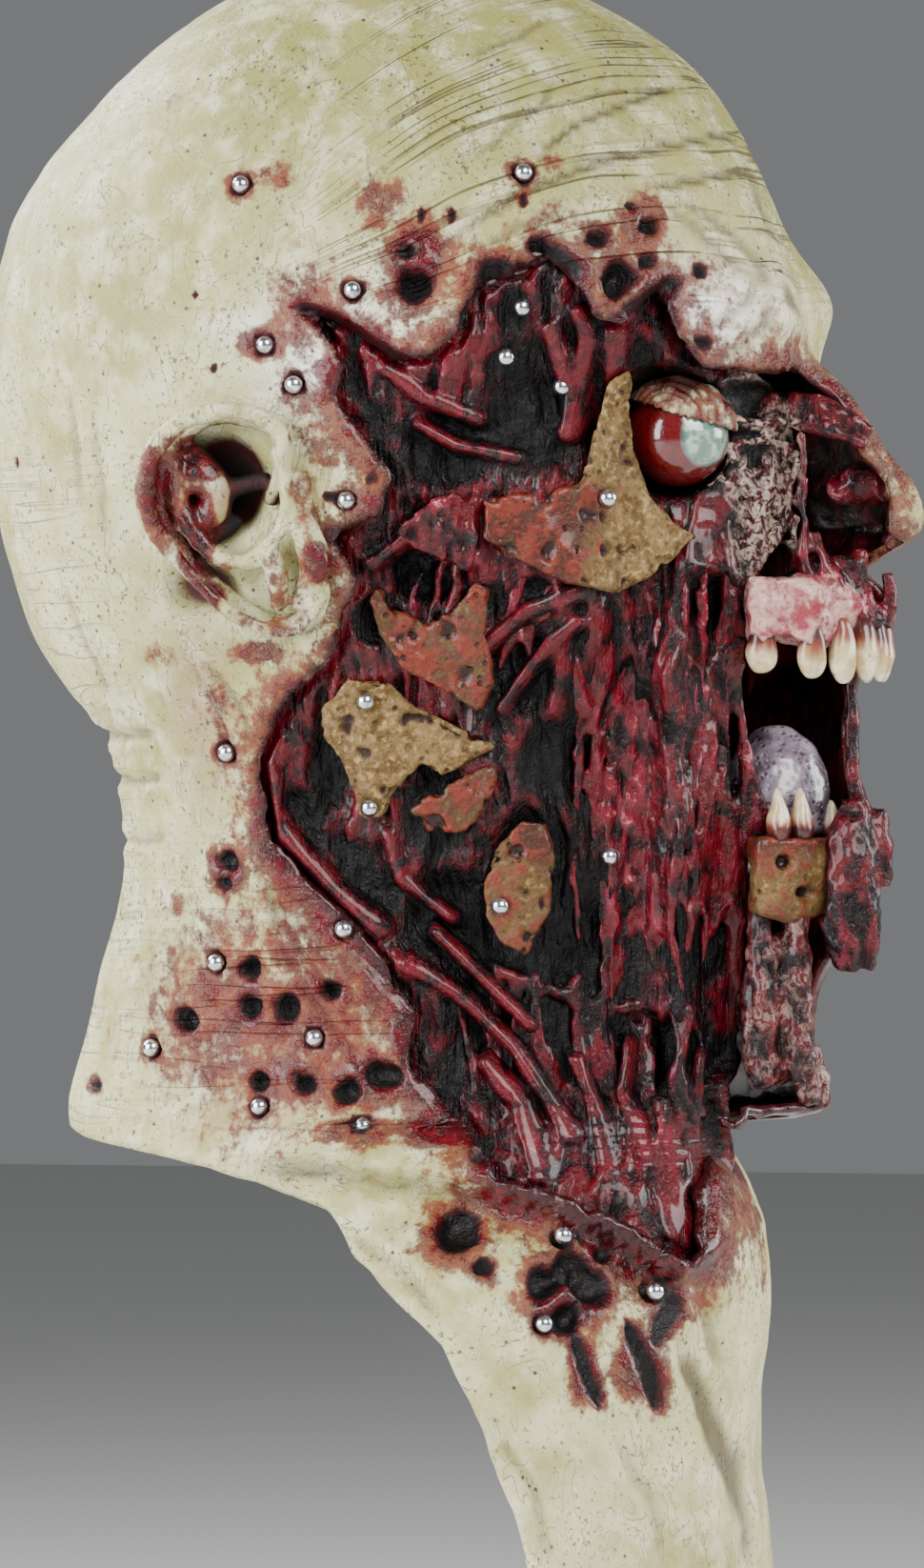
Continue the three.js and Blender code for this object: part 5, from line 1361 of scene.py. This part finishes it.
def make_eye():
    bm = bmesh.new()
    bmesh.ops.create_uvsphere(bm, u_segments=64, v_segments=40, radius=EYEBALL_RADIUS * MM)
    turn = GAZE.to_track_quat("Z", "Y").to_matrix().to_4x4()
    bmesh.ops.transform(bm, matrix=Matrix.Translation(Vector(EYE * MM)) @ turn, verts=bm.verts)
    ball = mesh_object("clouded_eyeball", bm)
    p = points_of(ball.data)
    facing = ((p - EYE) / EYEBALL_RADIUS) @ np.array(GAZE.normalized())
    angle = np.degrees(np.arccos(np.clip(facing, -1, 1)))
    put_points(ball.data, EYE + (p - EYE) * (1 + .075 * np.exp(-(angle / 26) ** 2))[:, None])
    paint(ball.data, iris=np.clip(1 - angle / 60, 0, 1))
    finish_piece(ball, "eye", ["eyeball"], clouded_eye())
    lid = copy_of("wrinkled_lid", "eyelid")
    remeshed(lid, .6, 4)

    def folds(p):
        around = np.hypot(p[:, 1] - EYE[1], p[:, 2] - EYE[2] - 4)
        return .3 * np.sin(around * 3.4 + 2 * noise(p, 5, 201)) + .5 * fractal(p, 3.4, 2, 203)
    p, out = settle(lid, folds)
    zero = np.zeros(len(p))
    # painted shade in the lid's sunken folds, and an even touch of the pale coat
    paint(lid.data, blood=.5 + .5 * fractal(p, 5, 2, 205), cave=zero, crease=.7 * smooth(-out, .15, .55),
          pale=zero + .3, edge=zero, lined=zero, flow=np.stack([p[:, 2], p[:, 1], zero], 1) * MM)
    finish_piece(lid, "wet_flesh", ["eyelid"], painted_latex())


def worn_tooth(name, number, upper):
    """A tooth from a sphere, fitted to the solid's box and turned with the arch of the jaw."""
    low, high = (np.array(corner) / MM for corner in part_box(name))
    centre, size = (low + high) / 2, (high - low) / 2
    arch = UPPER_ARCH if upper else LOWER_ARCH
    turn = math.atan2(centre[0] / arch[0], -(centre[1] - arch[2]) / arch[1])
    bm = bmesh.new()
    bmesh.ops.create_uvsphere(bm, u_segments=28, v_segments=22, radius=1)
    obj = mesh_object(name + "_worn", bm)
    q = points_of(obj.data) * MM
    if upper:
        tip = -q[:, 2]
        half_wide = 3.5 * (1.0 + .28 * smooth(tip, -.4, .5))
        thick = 1.0 - .3 * smooth(tip, 0, 1)
        length = .84 * size[2]
        q[:, 2] = np.sign(q[:, 2]) * np.abs(q[:, 2]) ** .8
        q[:, 0] = np.sign(q[:, 0]) * np.abs(q[:, 0]) ** .85
    else:
        tip = q[:, 2]
        half_wide = 3.1 * (1.15 - .65 * smooth(tip, -.5, 1.05))
        thick = 1.1 - .5 * smooth(tip, -.5, 1.05)
        length = size[2]
    q = np.stack([q[:, 0] * half_wide, q[:, 1] * 3.3 * thick, q[:, 2] * length + size[2] - length], 1)
    q[:, 0] += .35 * noise(q, 3.5, number)
    q[:, 1] += .35 * noise(q, 3.5, number + 30) + (-.5 if upper else .5) * tip
    c, s = math.cos(turn), math.sin(turn)
    q = np.stack([q[:, 0] * c - q[:, 1] * s, q[:, 0] * s + q[:, 1] * c, q[:, 2]], 1)
    put_points(obj.data, q + centre)
    stained = .4 if upper and number < 3 else .1 * (number % 3)
    paint(obj.data, root=1 - smooth(tip, -.55, .45) + stained)
    finish_piece(obj, "tooth", [name], stained_tooth())


def make_jaws():
    for jaw, count in (("upper", 8), ("lower", 4)):
        for number in range(1, count + 1):
            worn_tooth(f"{jaw}_tooth_{number}", number, jaw == "upper")
    gums = copy_of("upper_gum_flesh", "upper_gum")
    remeshed(gums, .9, 6)

    def roots(p):
        angle = np.degrees(np.arctan2(p[:, 0] / UPPER_ARCH[0], -(p[:, 1] - UPPER_ARCH[2]) / UPPER_ARCH[1]))
        near = np.min([np.abs(angle - tooth) for tooth in (-70, -50, -35, -20, -6.5, 7, 21, 35)], axis=0)
        bulge = np.exp(-(near / 4.5) ** 2)
        return .9 * bulge - .2 + 1.5 * fractal(p, 4, 3, 231)
    p, out = settle(gums, roots)
    # the gum's lower edge hangs down between the teeth
    moved = points_of(gums.data)
    moved[:, 2] -= smooth(-p[:, 2], 179, 183.5) * (2.8 + 2.0 * noise(moved, 3, 233))
    put_points(gums.data, moved)
    # painted shade between the bulges of the roots
    paint(gums.data, stain=.8 + .4 * fractal(p, 6, 2, 235), cave=np.clip(-.5 * out - .2, 0, .8))
    finish_piece(gums, "wet_flesh", ["upper_gum"], sore_gum())
    low = copy_of("lower_gum_plate", "lower_gum")
    remeshed(low, .9, 24)
    holes = seen([(822, 905), (838, 938)], plane=-24)

    def dents(p):
        out = 2.6 * fractal(p, 10, 3, 241) + .2
        for h in holes:
            d = np.hypot(p[:, 1] - h[1], p[:, 2] - h[2])
            out = out - 3.2 * (1 - smooth(d, 1.2, 2.6)) * (p[:, 0] < -4)
        return out
    p, out = settle(low, dents)
    # painted shade in the plate's dents and holes
    paint(low.data, stain=.5 + .4 * smooth(p[:, 2], -246, -239) + .25 * fractal(p, 6, 2, 243),
          cave=smooth(-out, 1.2, 2.6))
    finish_piece(low, "old_bone", ["lower_gum"], old_bone())
    tongue = copy_of("swollen_tongue", "tongue")
    remeshed(tongue, 1.0, 40)
    settle(tongue, lambda p: .5 * fractal(p, 7, 2, 251) + .12 * noise(p, 1.3, 253))
    finish_piece(tongue, "tongue", ["tongue"], grey_tongue())
    for node, seed, tint, extra in (("torn_lip", 261, 0.0, LIP), ("jaw_stump", 271, .38, JAW)):
        obj = joined(copy_of(node + "_flesh", node), tubes(node + "_folds", plane_rows(extra)))
        # the lip and jaw stump get less painted light than the cheek's strands, so they lie darker
        fleshy(obj, .8, 1.1, (4, 4, 8), seed, tint, .5)
        finish_piece(obj, "wet_flesh", [node], wet_flesh())


# Tubes of an ear: points as y, z and mm off the skull, then radii in mm
EAR = [
    # rim, from the front of the hole over the top and down the back
    ([(17, -150, 1), (11.5, -140, 3), (12, -131, 6), (20, -126, 9), (31, -126.5, 12), (41, -131, 15),
      (47, -140, 17), (48.5, -151, 16.5), (44, -161, 14), (37, -169, 11)],
     [2, 2.6, 2.4, 2.4, 2.6, 2.8, 3, 3, 2.6, 2]),
    # rim of the hole at the front and below it
    ([(14, -136, 5), (10.5, -146, 5.5), (11.5, -156, 6), (17, -163, 7), (24, -166, 7.5)],
     [1.8, 2, 2, 1.8, 1.4]),
    # tragus and the pale knob behind it
    ([(10, -152, 3), (5, -160, 5), (4, -170, 4), (9, -178, 3)], [3.2, 4.6, 4.2, 3]),
    ([(17, -160, 6), (14.5, -166, 8), (13.5, -172, 7), (15, -178, 4)], [2.0, 3.0, 3.0, 2.2]),
    # lower rim and lobe
    ([(37, -169, 11), (30, -177, 9), (22, -182.5, 7), (13, -184, 6), (6, -181, 5), (3, -174, 4)],
     [2, 1.8, 1.9, 2.1, 2.3, 2.2]),
    # inner fold
    ([(42, -132, 6), (42, -143, 8), (40, -153, 8), (34, -162, 7), (26, -167, 6), (18, -165, 6)],
     [2, 3.0, 3.2, 2.6, 2.2, 2]),
    # the lumpy shell inside the bowl
    ([(40, -138, 0), (36, -142, 2), (31, -147, 1), (33, -153, 2), (38, -156, 2)], [5.4, 6, 5, 5, 4]),
    ([(31, -147, 0), (24, -145, -1), (17, -144, 0)], [3.4, 2.6, 2.2]),
    ([(36, -160, 1), (30, -158, 0), (26, -154, -2)], [3, 2.4, 1.8]),
    # root along the skull
    ([(12, -131, 1), (26, -124.5, 1.5), (40, -130, 2), (47, -142, 2), (45, -158, 2), (32, -174, 1.5),
      (15, -184, 1), (3, -178, 1), (6, -160, 1), (9, -142, 1)], [3] * 10),
    ([(44, -134, 7), (47.5, -146, 8), (45, -158, 7)], [4, 4.6, 4]),
]
# Blood on the torn ear: place, half width and half height in the view, strength
EAR_BLOOD = [
    (205, 480, 34, 28, 1.0), (172, 520, 24, 56, .8), (205, 560, 22, 60, .9), (210, 630, 26, 24, 1.1),
    (330, 590, 18, 26, .8), (270, 665, 40, 10, .3),
]


def make_ear(name, node, sign, bloody):
    rows = []
    for points, radii in EAR:
        y, z, off = np.array(points, float).T
        rows.append((np.stack([sign * (side_reach(y, z) + off), y, z], 1), radii))
    obj = tubes(name, rows, 12)
    remeshed(obj, .8, 5)
    settle(obj, lambda p: .5 * fractal(p, 5, 2, 301) + .2 * noise(p, 1.6, 303))
    p = points_of(obj.data)
    zero = np.zeros(len(p))
    blood = zero + .1 + .34 * smooth(fractal(p, 7, 2, 307), 0, .5)
    # painted shade deep in the ear's bowl, near the skull
    cave = .95 * (1 - smooth(np.abs(p[:, 0]) - side_reach(p[:, 1], p[:, 2]), 0, 5)) * (
        1 - smooth(np.hypot((p[:, 1] - 28) / 20, (p[:, 2] + 150) / 27), .6, 1))
    shell = 1 - smooth(np.hypot((p[:, 1] - 34) / 16, (p[:, 2] + 146) / 18), .5, 1)
    for px, py, wide, tall, strength in bloody:
        d = spot_distance(p[:, 1], p[:, 2], px, py, wide, tall, -10)
        blood = np.maximum(blood, strength * (1 - smooth(d, .5, 1.2)))
    paint(obj.data, blood=blood, cave=cave, tan=.9 * shell, crease=zero, pale=zero + .1, edge=zero,
          lined=zero, flow=np.stack([p[:, 2], p[:, 1], zero], 1) * MM)
    finish_piece(obj, "latex_skin", [node], painted_latex())


def make_shot():
    bm = bmesh.new()
    for centre in pellet_places():
        bmesh.ops.create_icosphere(bm, subdivisions=3, radius=SHOT_RADIUS * MM,
                                   matrix=Matrix.Translation(Vector(centre * MM)))
    shot = mesh_object("steel_shot", bm)
    finish_piece(shot, "steel_pellet", [f"pellet_{k}" for k in range(1, SHOT_COUNT + 1)], bright_steel())


# The stage
# In metres: the floor's level, the point the lights face, and the camera's sensor in mm
FLOOR, LIT_POINT, SENSOR = -.62, (0, 0, -.22), 36
# Height of the view in its own pixels
VIEW_HEIGHT = 1646


def make_stage():
    look = bpy.context.scene.mask_stage
    bm = bmesh.new()
    bmesh.ops.create_grid(bm, x_segments=1, y_segments=1, size=6)
    bmesh.ops.translate(bm, verts=bm.verts, vec=(0, 0, FLOOR))
    floor = mesh_object("floor", bm)
    shade(floor, Graph("pale floor").done((.62, .62, .6, 1), .8))
    scene = bpy.context.scene
    world = bpy.data.worlds.new("soft studio")
    world.use_nodes = True
    sky = world.node_tree.nodes["Background"]
    sky.inputs["Color"].default_value = (.62, .64, .66, 1)
    sky.inputs["Strength"].default_value = look.ambient
    scene.world = world
    for name, place, size, power, color in [
        ("key", (-1.3, -1.1, .75), 1.1, look.key, (1, .98, .95)),
        ("fill", (-1.2, 1.2, .2), 1.3, look.key * 1.3, (.95, .97, 1)),
        ("rim", (.5, 1.3, .7), .9, look.key * .9, (1, 1, 1)),
        ("front", (.6, -1.5, .2), .9, look.key * .55, (1, 1, 1)),
    ]:
        light = bpy.data.lights.new(name, "AREA")
        light.size, light.energy, light.color = size, power, color
        lamp = bpy.data.objects.new(name, light)
        lamp.location = place
        lamp.rotation_euler = (Vector(LIT_POINT) - Vector(place)).to_track_quat("-Z", "Y").to_euler()
        scene.collection.objects.link(lamp)
    camera = bpy.data.cameras.new("view")
    camera.sensor_fit = "VERTICAL"
    camera.sensor_height = camera.sensor_width = SENSOR
    camera.lens = SENSOR * FAR / (VIEW_HEIGHT * PIXEL)
    eye = bpy.data.objects.new("view", camera)
    c, s = math.cos(TURN), math.sin(TURN)
    eye.location = Vector((-c * FAR + s * AIM_U, -s * FAR - c * AIM_U, AIM_Z)) * MM
    eye.rotation_euler = Vector((c, s, 0)).to_track_quat("-Z", "Y").to_euler()
    scene.collection.objects.link(eye)
    scene.camera = eye


# The add-on
def paint_color(name, note, code):
    return FloatVectorProperty(name=name, description=note, subtype="COLOR", size=3, min=0, max=1,
                               default=rgb(code))


class MaskPaint(bpy.types.PropertyGroup):
    """Colours of the mask's paint."""

    skin: paint_color("Skin", "Pale olive latex", 0xD6D2A6)
    skin_shadow: paint_color("Skin shadow", "Darker mottling of the latex", 0x9E985C)
    # flesh and flesh_shadow are the lit and the shaded colour of the same flesh: painted light and shade,
    # mixed with its clots
    flesh: paint_color("Flesh", "Lit wet flesh", 0x560410)
    flesh_shadow: paint_color("Flesh shadow", "Clotted flesh", 0x120206)
    bone: paint_color("Bone", "Ochre bone", 0x745E3A)
    tooth: paint_color("Tooth", "Off-white of the teeth", 0xE2D5B4)
    iris: paint_color("Iris", "Clouded green of the iris", 0x5C7A6C)


class MaskStage(bpy.types.PropertyGroup):
    """Light round the mask."""

    key: FloatProperty(name="Key light", description="Power of the key light in watts", default=52, min=0)
    ambient: FloatProperty(name="Ambient", description="Strength of the even light", default=.3, min=0)


class Maker:
    """What the operators share."""

    bl_options = {"REGISTER", "UNDO"}

    def execute(self, context):
        self.make()
        return {"FINISHED"}


class MASK_OT_stage(Maker, bpy.types.Operator):
    """Floor, light and camera."""

    bl_idname = "mask.stage"
    bl_label = "Stage"

    def make(self):
        make_stage()


class MASK_OT_skin(Maker, bpy.types.Operator):
    """The latex head, collar and bib with wrinkles, pits and torn edges."""

    bl_idname = "mask.skin"
    bl_label = "Skin"

    def make(self):
        make_skin()


class MASK_OT_bed(Maker, bpy.types.Operator):
    """The fibrous flesh behind the wound."""

    bl_idname = "mask.bed"
    bl_label = "Wound bed"

    def make(self):
        make_bed()


class MASK_OT_strands(Maker, bpy.types.Operator):
    """Torn strands of the cheek and neck."""

    bl_idname = "mask.strands"
    bl_label = "Strands"

    def make(self):
        make_strands()


class MASK_OT_plates(Maker, bpy.types.Operator):
    """Bone plates and lumps of muscle on the bed."""

    bl_idname = "mask.plates"
    bl_label = "Bone and muscle"

    def make(self):
        make_plates()


class MASK_OT_eye(Maker, bpy.types.Operator):
    """The clouded eyeball and its wrinkled lid."""

    bl_idname = "mask.eye"
    bl_label = "Eye"

    def make(self):
        make_eye()


class MASK_OT_jaws(Maker, bpy.types.Operator):
    """Gums, teeth, tongue, lip and jaw stump."""

    bl_idname = "mask.jaws"
    bl_label = "Jaws"

    def make(self):
        make_jaws()


class MASK_OT_ears(Maker, bpy.types.Operator):
    """The torn right ear and the whole left one."""

    bl_idname = "mask.ears"
    bl_label = "Ears"

    def make(self):
        make_ear("torn_ear", "right_ear", -1, EAR_BLOOD)
        make_ear("whole_ear", "left_ear", 1, [])


class MASK_OT_shot(Maker, bpy.types.Operator):
    """Steel balls in their pits."""

    bl_idname = "mask.shot"
    bl_label = "Steel shot"

    def make(self):
        make_shot()


OPERATORS = [MASK_OT_stage, MASK_OT_skin, MASK_OT_bed, MASK_OT_strands, MASK_OT_plates, MASK_OT_eye,
             MASK_OT_jaws, MASK_OT_ears, MASK_OT_shot]


class MASK_PT_panel(bpy.types.Panel):
    """Colours, light and makers of the mask."""

    bl_label = "Horror mask"
    bl_idname = "MASK_PT_panel"
    bl_space_type = "VIEW_3D"
    bl_region_type = "UI"
    bl_category = "Mask"

    def draw(self, context):
        for group in (context.scene.mask_paint, context.scene.mask_stage):
            for key in group.__annotations__:
                self.layout.prop(group, key)
        for made in OPERATORS:
            self.layout.operator(made.bl_idname)


CLASSES = [MaskPaint, MaskStage, *OPERATORS, MASK_PT_panel]


def register():
    for made in CLASSES:
        bpy.utils.register_class(made)
    bpy.types.Scene.mask_paint = PointerProperty(type=MaskPaint)
    bpy.types.Scene.mask_stage = PointerProperty(type=MaskStage)


def unregister():
    del bpy.types.Scene.mask_stage
    del bpy.types.Scene.mask_paint
    for made in reversed(CLASSES):
        bpy.utils.unregister_class(made)


def main():
    register()
    bpy.ops.mask.stage()
    bpy.ops.mask.skin()
    bpy.ops.mask.bed()
    bpy.ops.mask.strands()
    bpy.ops.mask.plates()
    bpy.ops.mask.eye()
    bpy.ops.mask.jaws()
    bpy.ops.mask.ears()
    bpy.ops.mask.shot()


if __name__ == "__main__":
    main()
